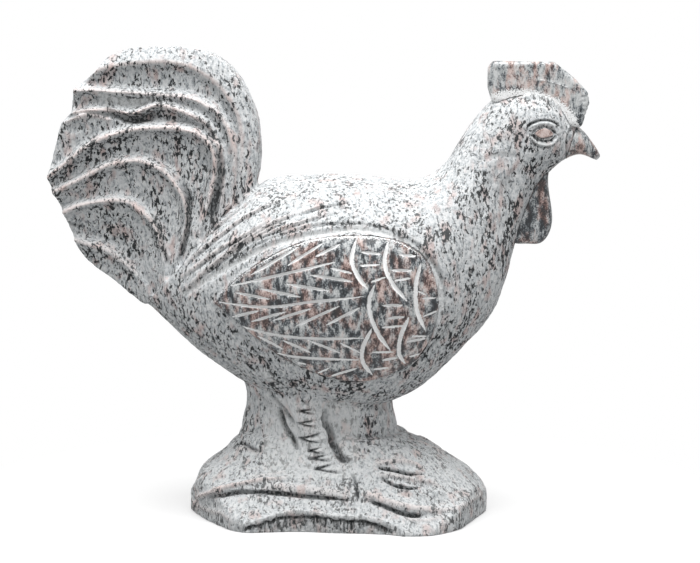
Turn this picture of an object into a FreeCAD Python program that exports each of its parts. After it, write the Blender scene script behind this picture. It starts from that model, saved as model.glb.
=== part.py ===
"""Rooster carved in granite, standing on its own rock, in millimetres.

X runs from tail to beak, Y across the bird and Z up. The origin is the middle of the rock's underside.
The whole figure is one block of stone. Each node is one carved region of that block, and neighbours
meet face to face along the carver's own lines: a chisel step, a polished edge or the foot of a form.
"""

import FreeCAD
import Part
import math
import os

from FreeCAD import Vector

# Rock that the bird stands on
ROCK_LENGTH = 255.0
ROCK_DEPTH = 172.0
ROCK_HEIGHT = 70.0

# Body, neck and head, which are one rounded form
BODY_LENGTH = 365.0
BODY_HEIGHT = 263.0
BODY_WIDTH = 164.0
RUMP_REACH = 160.0
BELLY_CLEARANCE = 94.0

# Pillar of stone left under the belly, and the shanks raised on its two sides
PILLAR_LENGTH = 130.5
PILLAR_DEPTH = 84.0
PILLAR_SETBACK = 16.2
SHANK_LENGTH = 28.0
SHANK_RELIEF = 10.0
SCUTE_COUNT = 6
SCUTE_DEPTH = 2.0
SCUTE_HEIGHT = 4.6

# Feet, raised a little from the rock and let into it down to a flat bed
FOOT_RELIEF = 4.0
FOOT_BED = 10.0

# Wings, polished panels raised a little from the flanks
WING_LENGTH = 182.0
WING_HEIGHT = 122.0
WING_LOWEST = 122.0
WING_TIP_REACH = 97.0
WING_RELIEF = 3.5
WING_BED = 36.0
GROOVE_DEPTH = 1.4
GROOVE_WIDTH = 3.4
SCALE_GROOVE_WIDTH = 5.0

# Tail, a fan of curled feathers
TAIL_LENGTH = 172.0
TAIL_HEIGHT = 221.0
TAIL_WIDTH = 64.0
FEATHER_STEP = 8.0

# Comb, beak, wattles and eyes, all polished
COMB_LENGTH = 84.0
COMB_HEIGHT = 55.0
COMB_BACK = 124.6
COMB_LOWEST = 328.5
COMB_THICKNESS = 27.0
COMB_ROUNDING = 4.0
BEAK_LENGTH = 21.0
WATTLE_LENGTH = 66.0
WATTLE_BREADTH = 32.0
WATTLE_FRONT = 177.5
WATTLE_TOP = 297.8
WATTLE_THICKNESS = 13.0
WATTLE_CLEFT = 3.0
EYE_LENGTH = 15.0
EYE_HEIGHT = 7.6
EYE_RELIEF = 1.2
EYE_BED = 12.0

# Cuts go this far past what they cut
OVERRUN = 60.0

PARTS_FOLDER = "parts"

# Section of the body, from the top of a rib to its bottom: share down the rib, share of the half width
SECTION_SHARES = (
    (0.0, 0.0),
    (0.07, 0.52),
    (0.27, 0.92),
    (0.52, 1.0),
    (0.78, 0.86),
    (0.955, 0.50),
    (1.0, 0.0),
)

# Ribs of the body from rump to face: top of the rib (along, up), its bottom (along, up) and its width,
# as shares of the body's length, height and width
RIB_SHARES = (
    (0.246, 0.696, -0.004, 0.324, 0.548),
    (0.289, 0.729, 0.076, 0.222, 0.738),
    (0.354, 0.738, 0.206, 0.088, 0.905),
    (0.438, 0.742, 0.351, 0.006, 0.988),
    (0.523, 0.733, 0.504, -0.006, 1.000),
    (0.594, 0.724, 0.634, 0.066, 0.929),
    (0.643, 0.736, 0.729, 0.194, 0.798),
    (0.682, 0.775, 0.791, 0.294, 0.655),
    (0.713, 0.841, 0.827, 0.415, 0.524),
    (0.743, 0.905, 0.846, 0.525, 0.440),
    (0.772, 0.952, 0.873, 0.636, 0.393),
    (0.804, 0.987, 0.906, 0.722, 0.369),
    (0.841, 1.003, 0.930, 0.761, 0.363),
    (0.881, 1.006, 0.944, 0.777, 0.333),
    (0.922, 0.990, 0.950, 0.785, 0.286),
    (0.956, 0.950, 0.955, 0.788, 0.220),
    (0.982, 0.899, 0.958, 0.790, 0.149),
)

# Tail ridges from the outermost to the lowest: where the ridge starts on the first rib, how wide the
# fan is at its tip, then its points as shares of the tail's length rearwards and height upwards, both
# measured from the top of that rib
RIDGE_SHARES = (
    (0.0, 0.62, (-0.024, 0.105), (-0.022, 0.215), (0.050, 0.390), (0.166, 0.492), (0.300, 0.530),
     (0.470, 0.536), (0.611, 0.524), (0.714, 0.490)),
    (0.09, 0.88, (0.046, 0.081), (0.041, 0.174), (0.066, 0.288), (0.160, 0.400), (0.313, 0.468),
     (0.504, 0.481), (0.652, 0.468), (0.743, 0.448)),
    (0.18, 0.94, (0.077, 0.082), (0.079, 0.188), (0.148, 0.284), (0.285, 0.343), (0.441, 0.360),
     (0.600, 0.368), (0.866, 0.374)),
    (0.28, 0.97, (0.133, 0.002), (0.137, 0.108), (0.190, 0.230), (0.286, 0.285), (0.416, 0.322),
     (0.540, 0.296), (0.694, 0.300), (0.874, 0.290)),
    (0.38, 0.97, (0.176, -0.060), (0.150, 0.055), (0.155, 0.140), (0.218, 0.218), (0.340, 0.249),
     (0.560, 0.252), (0.764, 0.279), (0.920, 0.252)),
    (0.48, 1.0, (0.220, -0.100), (0.176, 0.035), (0.175, 0.145), (0.234, 0.208), (0.340, 0.234),
     (0.540, 0.235), (0.721, 0.197), (0.870, 0.125), (0.998, 0.048)),
    (0.68, 1.0, (0.328, -0.186), (0.306, -0.072), (0.368, 0.028), (0.450, 0.090), (0.567, 0.114),
     (0.725, 0.086), (0.880, 0.022), (0.974, -0.009)),
    (0.79, 0.97, (0.424, -0.234), (0.456, -0.140), (0.525, -0.082), (0.620, -0.042), (0.730, -0.041),
     (0.844, -0.058), (0.924, -0.083)),
    (0.92, 0.85, (0.573, -0.312), (0.650, -0.257), (0.740, -0.215), (0.877, -0.185)),
    (1.0, 0.62, (0.588, -0.412), (0.672, -0.358), (0.757, -0.310), (0.850, -0.240)),
)

# Least width of a ridge at its root, as a share of the first rib's
RIDGE_NARROWEST_SHARE = 0.42

# Slope of the rock from below the ground up: share of its height, of its length, of its depth and of the
# length by which it shifts forward, the share of their relief that the feet have there, and how square
ROCK_SHARES = (
    (-0.10, 1.10, 1.08, -0.002, 1.0, 3.6),
    (0.0, 1.07, 1.035, -0.002, 1.0, 3.6),
    (0.10, 1.035, 0.98, -0.002, 1.0, 3.6),
    (0.22, 1.005, 0.90, -0.002, 1.0, 3.4),
    (0.37, 0.955, 0.80, -0.002, 1.0, 3.0),
    (0.57, 0.872, 0.70, -0.015, 0.9, 2.6),
    (0.67, 0.788, 0.65, -0.017, 0.8, 2.5),
    (0.78, 0.708, 0.60, -0.022, 0.6, 2.5),
    (0.89, 0.630, 0.555, -0.036, 0.3, 2.5),
    (1.0, 0.560, 0.52, -0.054, 0.0, 2.5),
)
ROCK_POINTS = 20

# Upright rim of the rock, its right half seen from above, from the front end back, as shares of the
# rock's length forward and of its depth to the side
RIM_SHARES = (
    (0.497, 0.0),
    (0.469, 0.120),
    (0.433, 0.273),
    (0.412, 0.352),
    (0.367, 0.430),
    (0.310, 0.488),
    (0.157, 0.500),
    (-0.040, 0.500),
    (-0.235, 0.494),
    (-0.333, 0.432),
    (-0.374, 0.352),
    (-0.412, 0.273),
    (-0.473, 0.120),
    (-0.498, 0.0),
)

# Bite that was split off the rim: share of the rock's length forward, share of its depth from its middle
SPLIT_SHARES = (
    (-0.350, 0.520),
    (-0.290, 0.483),
    (-0.205, 0.462),
    (-0.128, 0.444),
    (-0.032, 0.454),
    (0.106, 0.464),
    (0.190, 0.482),
    (0.240, 0.520),
)

# Pillar from the rock up: (share of the belly clearance, of its length, of its depth)
PILLAR_SHARES = ((0.60, 0.98, 0.98), (0.76, 1.02, 1.0), (0.95, 0.97, 0.98), (1.30, 1.08, 1.15))

# Shank from the foot up: share of the belly clearance, shift forward from the pillar's middle and
# length as shares of the shank's length, thickness as a share of its relief
SHANK_SHARES = (
    (0.48, 0.52, 1.05, 1.15),
    (0.62, 0.26, 0.92, 1.0),
    (0.76, 0.00, 0.86, 0.95),
    (0.90, -0.14, 0.92, 1.0),
    (1.04, -0.26, 1.08, 1.1),
    (1.16, -0.34, 1.20, 1.2),
)

# Wedge between two scales of a shank: how far it runs back and forward from the shank's middle, as
# shares of the shank's length
SCUTE_BACK_SHARE = 0.34
SCUTE_FRONT_SHARE = 0.60

# Right foot seen from above, in shares of the rock's length forward and of its depth to the right: along
# the outer edge from the hind toe's tip, round the outer, middle and inner toe, and back over the ankle
FOOTPRINT_SHARES = (
    (-0.472, 0.250),
    (-0.424, 0.301),
    (-0.373, 0.328),
    (-0.326, 0.344),
    (-0.253, 0.366),
    (-0.184, 0.380),
    (-0.086, 0.395),
    (0.000, 0.408),
    (0.070, 0.415),
    (0.096, 0.402),
    (0.125, 0.410),
    (0.202, 0.431),
    (0.257, 0.436),
    (0.298, 0.431),
    (0.328, 0.413),
    (0.304, 0.402),
    (0.261, 0.395),
    (0.201, 0.387),
    (0.150, 0.374),
    (0.201, 0.369),
    (0.262, 0.371),
    (0.323, 0.357),
    (0.362, 0.325),
    (0.329, 0.327),
    (0.287, 0.339),
    (0.233, 0.346),
    (0.172, 0.342),
    (0.233, 0.321),
    (0.284, 0.309),
    (0.333, 0.284),
    (0.313, 0.272),
    (0.261, 0.284),
    (0.212, 0.294),
    (0.161, 0.302),
    (0.109, 0.300),
    (0.034, 0.270),
    (-0.055, 0.262),
    (-0.110, 0.300),
    (-0.153, 0.337),
    (-0.213, 0.339),
    (-0.274, 0.329),
    (-0.338, 0.312),
    (-0.403, 0.284),
    (-0.446, 0.252),
)

# Comb outline from its back edge over the top and down the front, in shares of its length and height
COMB_SHARES = (
    (0.04, 0.40),
    (0.0, 0.60),
    (0.0, 0.90),
    (0.05, 1.0),
    (0.653, 0.985),
    (0.85, 0.743),
    (0.985, 0.53),
    (1.0, 0.364),
    (0.963, 0.198),
    (0.925, 0.0),
    (0.70, 0.05),
    (0.30, 0.25),
)

# Beak from its root: how far its top and bottom lie forward and up, as shares of the beak's length, and
# its width as a share of the face's
BEAK_SHARES = (
    (0.0, 0.0, 0.0, 0.0, 0.94),
    (0.30, -0.24, 0.24, 0.13, 0.90),
    (0.52, -0.50, 0.52, 0.20, 0.74),
    (0.74, -0.80, 0.80, 0.16, 0.52),
    (0.90, -1.05, 1.04, 0.06, 0.34),
    (0.97, -1.24, 1.26, -0.02, 0.16),
)

# Wattle outline, forward and up from its front top corner, in shares of its breadth and length
WATTLE_SHARES = (
    (-0.05, -0.10),
    (0.0, -0.45),
    (-0.02, -0.86),
    (-0.25, -0.99),
    (-0.60, -1.0),
    (-0.95, -0.99),
    (-1.20, -0.88),
    (-0.95, -0.50),
    (-0.60, -0.22),
    (-0.25, 0.0),
)

# Swell of a wattle from the cleft outwards: share of its thickness, size of its outline there
WATTLE_CUSHION_SHARES = ((0.0, 0.88), (0.25, 0.98), (0.55, 1.0), (0.85, 0.92), (1.0, 0.76))

# Wing outline from its rear tip over the top and round, in shares of its length and height
WING_SHARES = (
    (0.0, 0.535),
    (0.081, 0.678),
    (0.179, 0.792),
    (0.304, 0.899),
    (0.442, 0.976),
    (0.632, 1.0),
    (0.800, 0.975),
    (0.941, 0.845),
    (1.0, 0.587),
    (0.965, 0.310),
    (0.872, 0.131),
    (0.663, 0.018),
    (0.530, 0.040),
    (0.409, 0.105),
    (0.302, 0.184),
    (0.195, 0.304),
    (0.089, 0.430),
)

# Feather grooves of the wing: quills, then barbs and short strokes, as start and end or as a path
QUILL_SHARES = (
    ((0.072, 0.658), (0.548, 0.835)),
    ((0.022, 0.544), (0.236, 0.526), (0.437, 0.568), (0.672, 0.610)),
    ((0.115, 0.390), (0.271, 0.339), (0.467, 0.321), (0.672, 0.330)),
    ((0.284, 0.211), (0.382, 0.186), (0.650, 0.176)),
    ((0.170, 0.739), (0.380, 0.926)),
    ((0.335, 0.807), (0.490, 0.954)),
    ((0.459, 0.867), (0.566, 0.948)),
    ((0.097, 0.616), (0.254, 0.581)),
    ((0.213, 0.648), (0.394, 0.601)),
    ((0.328, 0.686), (0.525, 0.645)),
    ((0.435, 0.749), (0.624, 0.708)),
    ((0.080, 0.449), (0.204, 0.500)),
    ((0.171, 0.425), (0.328, 0.501)),
    ((0.270, 0.439), (0.443, 0.527)),
    ((0.369, 0.403), (0.566, 0.547)),
    ((0.508, 0.417), (0.656, 0.536)),
    ((0.195, 0.326), (0.310, 0.241)),
    ((0.311, 0.303), (0.434, 0.224)),
    ((0.434, 0.304), (0.566, 0.225)),
    ((0.525, 0.057), (0.640, 0.115)),
    ((0.664, 0.898), (0.746, 0.887)),
    ((0.828, 0.881), (0.901, 0.870)),
    ((0.795, 0.781), (0.885, 0.778)),
    ((0.755, 0.549), (0.845, 0.548)),
    ((0.779, 0.463), (0.853, 0.470)),
    ((0.862, 0.297), (0.944, 0.313)),
    ((0.755, 0.172), (0.821, 0.185)),
)

# Edges of the shoulder scales, cut broader than the quills
SCALE_EDGE_SHARES = (
    ((0.636, 0.975), (0.619, 0.856), (0.641, 0.756), (0.690, 0.657)),
    ((0.720, 0.684), (0.698, 0.584), (0.703, 0.484), (0.739, 0.351), (0.788, 0.244)),
    ((0.707, 0.391), (0.668, 0.263), (0.668, 0.156), (0.708, 0.065)),
    ((0.777, 0.960), (0.764, 0.830), (0.796, 0.698), (0.862, 0.579)),
    ((0.871, 0.466), (0.836, 0.339), (0.828, 0.218), (0.854, 0.141)),
    ((0.923, 0.820), (0.902, 0.686), (0.907, 0.513), (0.945, 0.370)),
)

# Eye, an almond, in shares of its length and height from its middle
EYE_SHARES = ((-0.5, -0.05), (-0.25, 0.32), (0.05, 0.5), (0.32, 0.25), (0.5, -0.15), (0.2, -0.42),
              (-0.15, -0.5))
EYE_PLACE_SHARES = (0.906, 0.878)


def body_point(along_share, up_share):
    """A point of the body's middle plane."""
    return Vector(
        BODY_LENGTH * along_share - RUMP_REACH, 0, BELLY_CLEARANCE + BODY_HEIGHT * up_share
    )


def smooth_edge(points, closed=False):
    """A smooth curve through the points."""
    curve = Part.BSplineCurve()
    curve.interpolate(Points=points, PeriodicFlag=closed)
    return curve.toShape()


def cornered_wire(points):
    return Part.makePolygon(points + points[:1])


def rib_wire(top, bottom, half_width):
    """A rounded closed section between two points of the middle plane."""
    right = [
        top + (bottom - top) * down - Vector(0, half_width * out, 0)
        for down, out in SECTION_SHARES
    ]
    left = [Vector(p.x, -p.y, p.z) for p in reversed(right[1:-1])]
    return Part.Wire(smooth_edge(right + left, closed=True))


def body_ribs():
    """Top, bottom and half width of each rib of the body."""
    return [
        (body_point(top_x, top_z), body_point(low_x, low_z), BODY_WIDTH * width / 2)
        for top_x, top_z, low_x, low_z, width in RIB_SHARES
    ]


def body_form(relief=0):
    """The body as one loft, its flanks moved out by relief."""
    wires = [rib_wire(top, bottom, half + relief) for top, bottom, half in body_ribs()]
    return Part.makeLoft(wires, True, False)


def sideways_block(wire, near, far):
    """A flat outline of the middle plane, drawn out sideways from near to far."""
    face = Part.Face(wire)
    face.translate(Vector(0, near, 0))
    return face.extrude(Vector(0, far - near, 0))


def mirrored(shape):
    return shape.mirror(Vector(0, 0, 0), Vector(0, 1, 0))


# Tail


def section_width_share(down):
    """Share of a rib's half width at a share of the way down it."""
    for (low, low_out), (high, high_out) in zip(SECTION_SHARES, SECTION_SHARES[1:]):
        if down <= high:
            return low_out + (high_out - low_out) * (down - low) / (high - low)
    return SECTION_SHARES[-1][1]


def tail_ridges():
    """Each ridge as its middle-plane curve and its half widths at root and tip."""
    top, bottom, rib_half = body_ribs()[0]
    ridges = []
    for start, tip_share, *points in RIDGE_SHARES:
        path = [top + (bottom - top) * start]
        path += [
            top + Vector(-TAIL_LENGTH * back, 0, TAIL_HEIGHT * up) for back, up in points
        ]
        curve = Part.BSplineCurve()
        curve.interpolate(path)
        root_half = rib_half * max(RIDGE_NARROWEST_SHARE, section_width_share(start))
        ridges.append((curve, root_half, TAIL_WIDTH * tip_share / 2))
    return ridges


def raised(curve, root_offset, tip_offset):
    """The same curve, moved sideways by an offset that runs evenly from its root to its tip."""
    lifted = curve.copy()
    last = curve.NbPoles - 1
    for number, pole in enumerate(curve.getPoles()):
        sideways = root_offset + (tip_offset - root_offset) * number / last
        lifted.setPole(number + 1, Vector(pole.x, sideways, pole.z))
    return lifted.toShape()


def feather(outer, inner, outer_step, inner_step):
    """One feather between two ridges, each of its long edges lowered from the ridge by a step."""
    sides = []
    for side in (-1, 1):
        edges = [
            raised(curve, side * (root - step), side * (tip - step))
            for (curve, root, tip), step in ((outer, outer_step), (inner, inner_step))
        ]
        sides.append(edges)
    (outer_right, inner_right), (outer_left, inner_left) = sides
    around = (outer_right, inner_right, inner_left, outer_left)
    root_corners = [edge.valueAt(edge.FirstParameter) for edge in around]
    tip_corners = [edge.valueAt(edge.LastParameter) for edge in around]
    faces = [
        Part.makeRuledSurface(outer_right, inner_right),
        Part.makeRuledSurface(outer_left, inner_left),
        Part.makeRuledSurface(outer_right, outer_left),
        Part.makeRuledSurface(inner_right, inner_left),
        Part.Face(cornered_wire(root_corners)),
        Part.Face(cornered_wire(tip_corners)),
    ]
    shell = Part.makeShell(faces)
    shell.sewShape()
    solid = Part.Solid(shell)
    if solid.Volume < 0:
        solid.reverse()
    return solid


def tail_feathers():
    """Every feather by name, the top one first. Each falls from its own ridge to the next one's foot."""
    ridges = tail_ridges()
    feathers = {}
    for number, (outer, inner) in enumerate(zip(ridges, ridges[1:]), start=1):
        inner_step = 0 if inner is ridges[1] or inner is ridges[-1] else FEATHER_STEP
        feathers[f"tail_feather_{number}"] = feather(outer, inner, 0, inner_step)
    return feathers


# Rock, pillar, legs and feet


def rock_level(length, depth, shift, height, squareness):
    """One level of the rock, an oblong with broad round corners."""
    power = 2 / squareness
    points = []
    for step in range(ROCK_POINTS):
        turn = math.tau * step / ROCK_POINTS
        along = math.copysign(abs(math.cos(turn)) ** power, math.cos(turn))
        across = math.copysign(abs(math.sin(turn)) ** power, math.sin(turn))
        x = ROCK_LENGTH * (length * along / 2 + shift)
        points.append(Vector(x, ROCK_DEPTH * depth * across / 2, height))
    return Part.Wire(smooth_edge(points, closed=True))


def slope_form(relief=0):
    """The rock's sloping top, which runs on below the ground, raised by relief if asked."""
    wires = []
    for up, length, depth, shift, raised_share, squareness in ROCK_SHARES:
        height = ROCK_HEIGHT * up + relief * raised_share
        wires.append(rock_level(length, depth, shift, height, squareness))
    return Part.makeLoft(wires, True, False)


def rim_form():
    """The block that the rock is cut from, seen from above, drawn up from the ground."""
    right = [Vector(ROCK_LENGTH * x, -ROCK_DEPTH * y, 0) for x, y in RIM_SHARES]
    left = [Vector(p.x, -p.y, p.z) for p in reversed(right[1:-1])]
    face = Part.Face(Part.Wire(smooth_edge(right + left, closed=True)))
    return face.extrude(Vector(0, 0, ROCK_HEIGHT + OVERRUN))


def split_block():
    """The shallow bite that was split off the right side of the rim."""
    points = [Vector(ROCK_LENGTH * x, -ROCK_DEPTH * y, -OVERRUN) for x, y in SPLIT_SHARES]
    face = Part.Face(Part.Wire([smooth_edge(points), Part.makeLine(points[-1], points[0])]))
    return face.extrude(Vector(0, 0, ROCK_HEIGHT + OVERRUN))


def rock_form(relief=0):
    """The rock down to the ground, its slope raised by relief if asked."""
    split = split_block()
    return slope_form(relief).common(rim_form()).cut([split, mirrored(split)])


def oval_wire(centre, half_length, half_depth):
    """A level oval."""
    steps = 12
    points = []
    for step in range(steps):
        turn = math.tau * step / steps
        points.append(
            centre + Vector(half_length * math.cos(turn), half_depth * math.sin(turn), 0)
        )
    return Part.Wire(smooth_edge(points, closed=True))


def pillar_form():
    wires = [
        oval_wire(
            Vector(-PILLAR_SETBACK, 0, BELLY_CLEARANCE * up),
            PILLAR_LENGTH * length / 2,
            PILLAR_DEPTH * depth / 2,
        )
        for up, length, depth in PILLAR_SHARES
    ]
    return Part.makeLoft(wires, True, False)


def shank_middle(up_share, shift_share):
    return Vector(
        SHANK_LENGTH * shift_share - PILLAR_SETBACK, -PILLAR_DEPTH / 2, BELLY_CLEARANCE * up_share
    )


def shank_form(lowered=0):
    """The right shank, a flattened form half let into the pillar, its outside lowered if asked."""
    wires = [
        oval_wire(
            shank_middle(up, shift),
            SHANK_LENGTH * length / 2 - lowered,
            SHANK_RELIEF * thick - lowered,
        )
        for up, shift, length, thick in SHANK_SHARES
    ]
    return Part.makeLoft(wires, True, False)


def scute_cuts():
    """Wedges down the shank that leave its scales, each pointing back and open to the front."""
    cuts = []
    (low_up, low_shift, *_), (high_up, high_shift, *_) = SHANK_SHARES[1], SHANK_SHARES[-2]
    low, high = shank_middle(low_up, low_shift), shank_middle(high_up, high_shift)
    for number in range(SCUTE_COUNT):
        middle = low + (high - low) * (2 * number + 1) / (2 * SCUTE_COUNT)
        back = middle - Vector(SHANK_LENGTH * SCUTE_BACK_SHARE, 0, 0)
        front_top = middle + Vector(SHANK_LENGTH * SCUTE_FRONT_SHARE, 0, SCUTE_HEIGHT)
        front_low = middle + Vector(SHANK_LENGTH * SCUTE_FRONT_SHARE, 0, 0)
        wire = cornered_wire([Vector(p.x, 0, p.z) for p in (back, front_top, front_low)])
        cuts.append(sideways_block(wire, -PILLAR_DEPTH / 2, -PILLAR_DEPTH / 2 - OVERRUN))
    return cuts


def footprint_block():
    """The plan of the right foot, drawn up from its bed."""
    points = [
        Vector(ROCK_LENGTH * ahead, -ROCK_DEPTH * aside, FOOT_BED)
        for ahead, aside in FOOTPRINT_SHARES
    ]
    face = Part.Face(Part.Wire(smooth_edge(points, closed=True)))
    return face.extrude(Vector(0, 0, ROCK_HEIGHT + OVERRUN))


# Head pieces


def comb_form():
    """A thick plate over the crown, squared behind and sloping down in front."""
    corners = [
        Vector(COMB_BACK + COMB_LENGTH * x, 0, COMB_LOWEST + COMB_HEIGHT * z)
        for x, z in COMB_SHARES
    ]
    plate = sideways_block(cornered_wire(corners), -COMB_THICKNESS / 2, COMB_THICKNESS / 2)
    return plate.makeFillet(COMB_ROUNDING, plate.Edges)


def beak_form():
    top, bottom, half = body_ribs()[-1]
    wires = []
    for top_x, top_z, low_x, low_z, width in BEAK_SHARES:
        high = top + Vector(BEAK_LENGTH * top_x, 0, BEAK_LENGTH * top_z)
        low = bottom + Vector(BEAK_LENGTH * low_x, 0, BEAK_LENGTH * low_z)
        wires.append(rib_wire(high, low, half * width))
    return Part.makeLoft(wires, True, False)


def wattle_form():
    """The right wattle, a cushioned lobe that hangs from the throat beside the cleft."""
    points = [
        Vector(WATTLE_FRONT + WATTLE_BREADTH * x, 0, WATTLE_TOP + WATTLE_LENGTH * z)
        for x, z in WATTLE_SHARES
    ]
    middle = sum(points, Vector()) / len(points)
    wires = []
    for out, size in WATTLE_CUSHION_SHARES:
        sideways = -WATTLE_CLEFT / 2 - WATTLE_THICKNESS * out
        outline = [
            middle + (point - middle) * size + Vector(0, sideways, 0) for point in points
        ]
        wires.append(Part.Wire(smooth_edge(outline, closed=True)))
    return Part.makeLoft(wires, True, False)


# Wings and eyes, let into the body down to a flat bed


def wing_point(along_share, up_share):
    return Vector(
        WING_LENGTH * along_share - WING_TIP_REACH, 0, WING_LOWEST + WING_HEIGHT * up_share
    )


def wing_block():
    points = [wing_point(x, z) for x, z in WING_SHARES]
    wire = Part.Wire(smooth_edge(points + points[:1]))
    return sideways_block(wire, -WING_BED, -WING_BED - BODY_WIDTH)


def stroke_block(path, width):
    """A cut along a path that is pointed at both ends."""
    left, right = [], []
    last = len(path) - 1
    points = path
    if last == 1:
        points = [path[0], (path[0] + path[1]) / 2, path[1]]
        last = 2
    for number in range(1, last):
        ahead = points[number + 1] - points[number - 1]
        across = Vector(-ahead.z, 0, ahead.x).normalize() * (width / 2)
        left.append(points[number] + across)
        right.append(points[number] - across)
    outline = [points[0]] + left + [points[-1]] + right[::-1]
    return sideways_block(cornered_wire(outline), -WING_BED, -WING_BED - BODY_WIDTH)


def wing_strokes():
    """Every groove of the right wing as a block that runs right through it."""
    blocks = []
    for group, width in ((QUILL_SHARES, GROOVE_WIDTH), (SCALE_EDGE_SHARES, SCALE_GROOVE_WIDTH)):
        for path in group:
            blocks.append(stroke_block([wing_point(x, z) for x, z in path], width))
    return blocks


def eye_block():
    centre = body_point(*EYE_PLACE_SHARES)
    points = [centre + Vector(EYE_LENGTH * x, 0, EYE_HEIGHT * z) for x, z in EYE_SHARES]
    wire = Part.Wire(smooth_edge(points + points[:1]))
    return sideways_block(wire, -EYE_BED, -EYE_BED - BODY_WIDTH)


def carved_wing():
    """The right wing, with its grooves cut to an even depth below its curved face."""
    wing = wing_block().common(body_form(WING_RELIEF))
    floor = body_form(WING_RELIEF - GROOVE_DEPTH)
    grooves = [block.cut(floor) for block in wing_strokes()]
    return wing.cut(grooves)


def carved_shank(body):
    """The right shank above the foot, with its scales, ending under the belly."""
    cuts = [cut.cut(shank_form(SCUTE_DEPTH)) for cut in scute_cuts()]
    return shank_form().cut([body] + cuts)


def all_nodes():
    """Every carved region by name."""
    body = body_form()
    wing_bed = wing_block()
    eye_bed = eye_block()
    beds = [wing_bed, mirrored(wing_bed), eye_bed, mirrored(eye_bed)]
    wing = carved_wing()
    eye = eye_bed.common(body_form(EYE_RELIEF))
    beak = beak_form()
    wattle = wattle_form().cut(body)

    rock = rock_form()
    shank_core = shank_form()
    shank_cores = [shank_core, mirrored(shank_core)]
    shank = carved_shank(body)
    pillar = pillar_form().cut([body, rock] + shank_cores)
    footprint = footprint_block()
    foot = footprint.common(rock_form(FOOT_RELIEF)).cut([pillar, shank_core])

    nodes = {
        "rock": rock.cut([footprint, mirrored(footprint)] + shank_cores),
        "pillar": pillar,
        "body": body.cut(beds),
        "comb": comb_form().cut([body, beak]),
        "beak": beak,
        "right_wing": wing,
        "left_wing": mirrored(wing),
        "right_eye": eye,
        "left_eye": mirrored(eye),
        "right_wattle": wattle,
        "left_wattle": mirrored(wattle),
        "right_shank": shank,
        "left_shank": mirrored(shank),
        "right_foot": foot,
        "left_foot": mirrored(foot),
    }
    nodes.update(tail_feathers())
    return nodes


def main():
    os.makedirs(PARTS_FOLDER, exist_ok=True)
    for name, shape in all_nodes().items():
        print(name, len(shape.Solids), shape.isValid(), round(shape.Volume))
        shape.exportStep(os.path.join(PARTS_FOLDER, name + ".step"))


main()
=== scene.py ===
import math

import bpy
import numpy as np
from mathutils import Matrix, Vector


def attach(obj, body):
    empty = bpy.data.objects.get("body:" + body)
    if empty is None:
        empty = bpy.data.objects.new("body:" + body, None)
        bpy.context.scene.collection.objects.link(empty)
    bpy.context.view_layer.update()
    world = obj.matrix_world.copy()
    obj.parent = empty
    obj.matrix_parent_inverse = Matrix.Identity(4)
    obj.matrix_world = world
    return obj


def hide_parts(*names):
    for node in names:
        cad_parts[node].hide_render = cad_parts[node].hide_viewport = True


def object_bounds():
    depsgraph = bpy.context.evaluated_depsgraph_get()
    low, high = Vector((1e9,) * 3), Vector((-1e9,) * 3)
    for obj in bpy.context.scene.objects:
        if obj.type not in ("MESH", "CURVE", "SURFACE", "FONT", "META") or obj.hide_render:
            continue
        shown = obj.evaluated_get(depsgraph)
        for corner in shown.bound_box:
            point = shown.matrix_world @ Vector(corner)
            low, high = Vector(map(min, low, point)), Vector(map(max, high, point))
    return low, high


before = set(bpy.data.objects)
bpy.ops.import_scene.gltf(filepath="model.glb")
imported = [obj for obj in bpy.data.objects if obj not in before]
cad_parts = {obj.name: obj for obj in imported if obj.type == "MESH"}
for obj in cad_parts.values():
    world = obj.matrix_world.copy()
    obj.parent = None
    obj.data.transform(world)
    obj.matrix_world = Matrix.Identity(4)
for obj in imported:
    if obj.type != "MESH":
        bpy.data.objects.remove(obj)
cad_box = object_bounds()

# ---------------------------------------------------------------------------------------------------
# The block. The rooster and its rock are one piece of granite, split from a slab, roughed out with a
# saw and dressed with point and bush hammer. Here the carved regions are joined, closed over as one
# skin of even facets, and then carved further, as the mason did, before it is cut into handy pieces.

# Blender's own tools take metres. Strokes are placed in millimetres: along the bird, across it and up.
BLOCK_VOXEL = 0.0014
BLOCK_NODES = ["body", "pillar", "rock", "right_wing", "left_wing", "right_eye", "left_eye",
               "right_shank", "left_shank", "right_foot", "left_foot"]
TAIL_NODES = ["tail_feather_%d" % number for number in range(1, 10)]


def pick(piece):
    """Only this piece is selected and active."""
    if bpy.context.mode != "OBJECT":
        bpy.ops.object.mode_set(mode="OBJECT")
    bpy.ops.object.select_all(action="DESELECT")
    piece.select_set(True)
    bpy.context.view_layer.objects.active = piece


def apply_modifier(piece, kind, **settings):
    """Adds a modifier with its settings and applies it."""
    pick(piece)
    modifier = piece.modifiers.new(kind.title(), kind)
    for name, value in settings.items():
        setattr(modifier, name, value)
    bpy.ops.object.modifier_apply(modifier=modifier.name)


def merged_copy(nodes, name):
    """Copies of some solids, joined into one piece with their doubled corners merged."""
    copies = []
    for node in nodes:
        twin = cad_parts[node].copy()
        twin.data = twin.data.copy()
        twin.parent = None
        for key in list(twin.keys()):
            del twin[key]
        bpy.context.scene.collection.objects.link(twin)
        copies.append(twin)
    bpy.context.view_layer.update()
    pick(copies[0])
    for twin in copies:
        twin.select_set(True)
    if len(copies) > 1:
        bpy.ops.object.join()
    piece = bpy.context.view_layer.objects.active
    piece.name = piece.data.name = name
    piece.data.materials.clear()
    bpy.ops.object.mode_set(mode="EDIT")
    bpy.ops.mesh.select_all(action="SELECT")
    bpy.ops.mesh.remove_doubles(threshold=0.00001)
    bpy.ops.object.mode_set(mode="OBJECT")
    return piece


def close_over(piece, voxel):
    """One even skin over all that the piece holds."""
    apply_modifier(piece, "REMESH", mode="VOXEL", voxel_size=voxel, use_smooth_shade=True)


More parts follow.
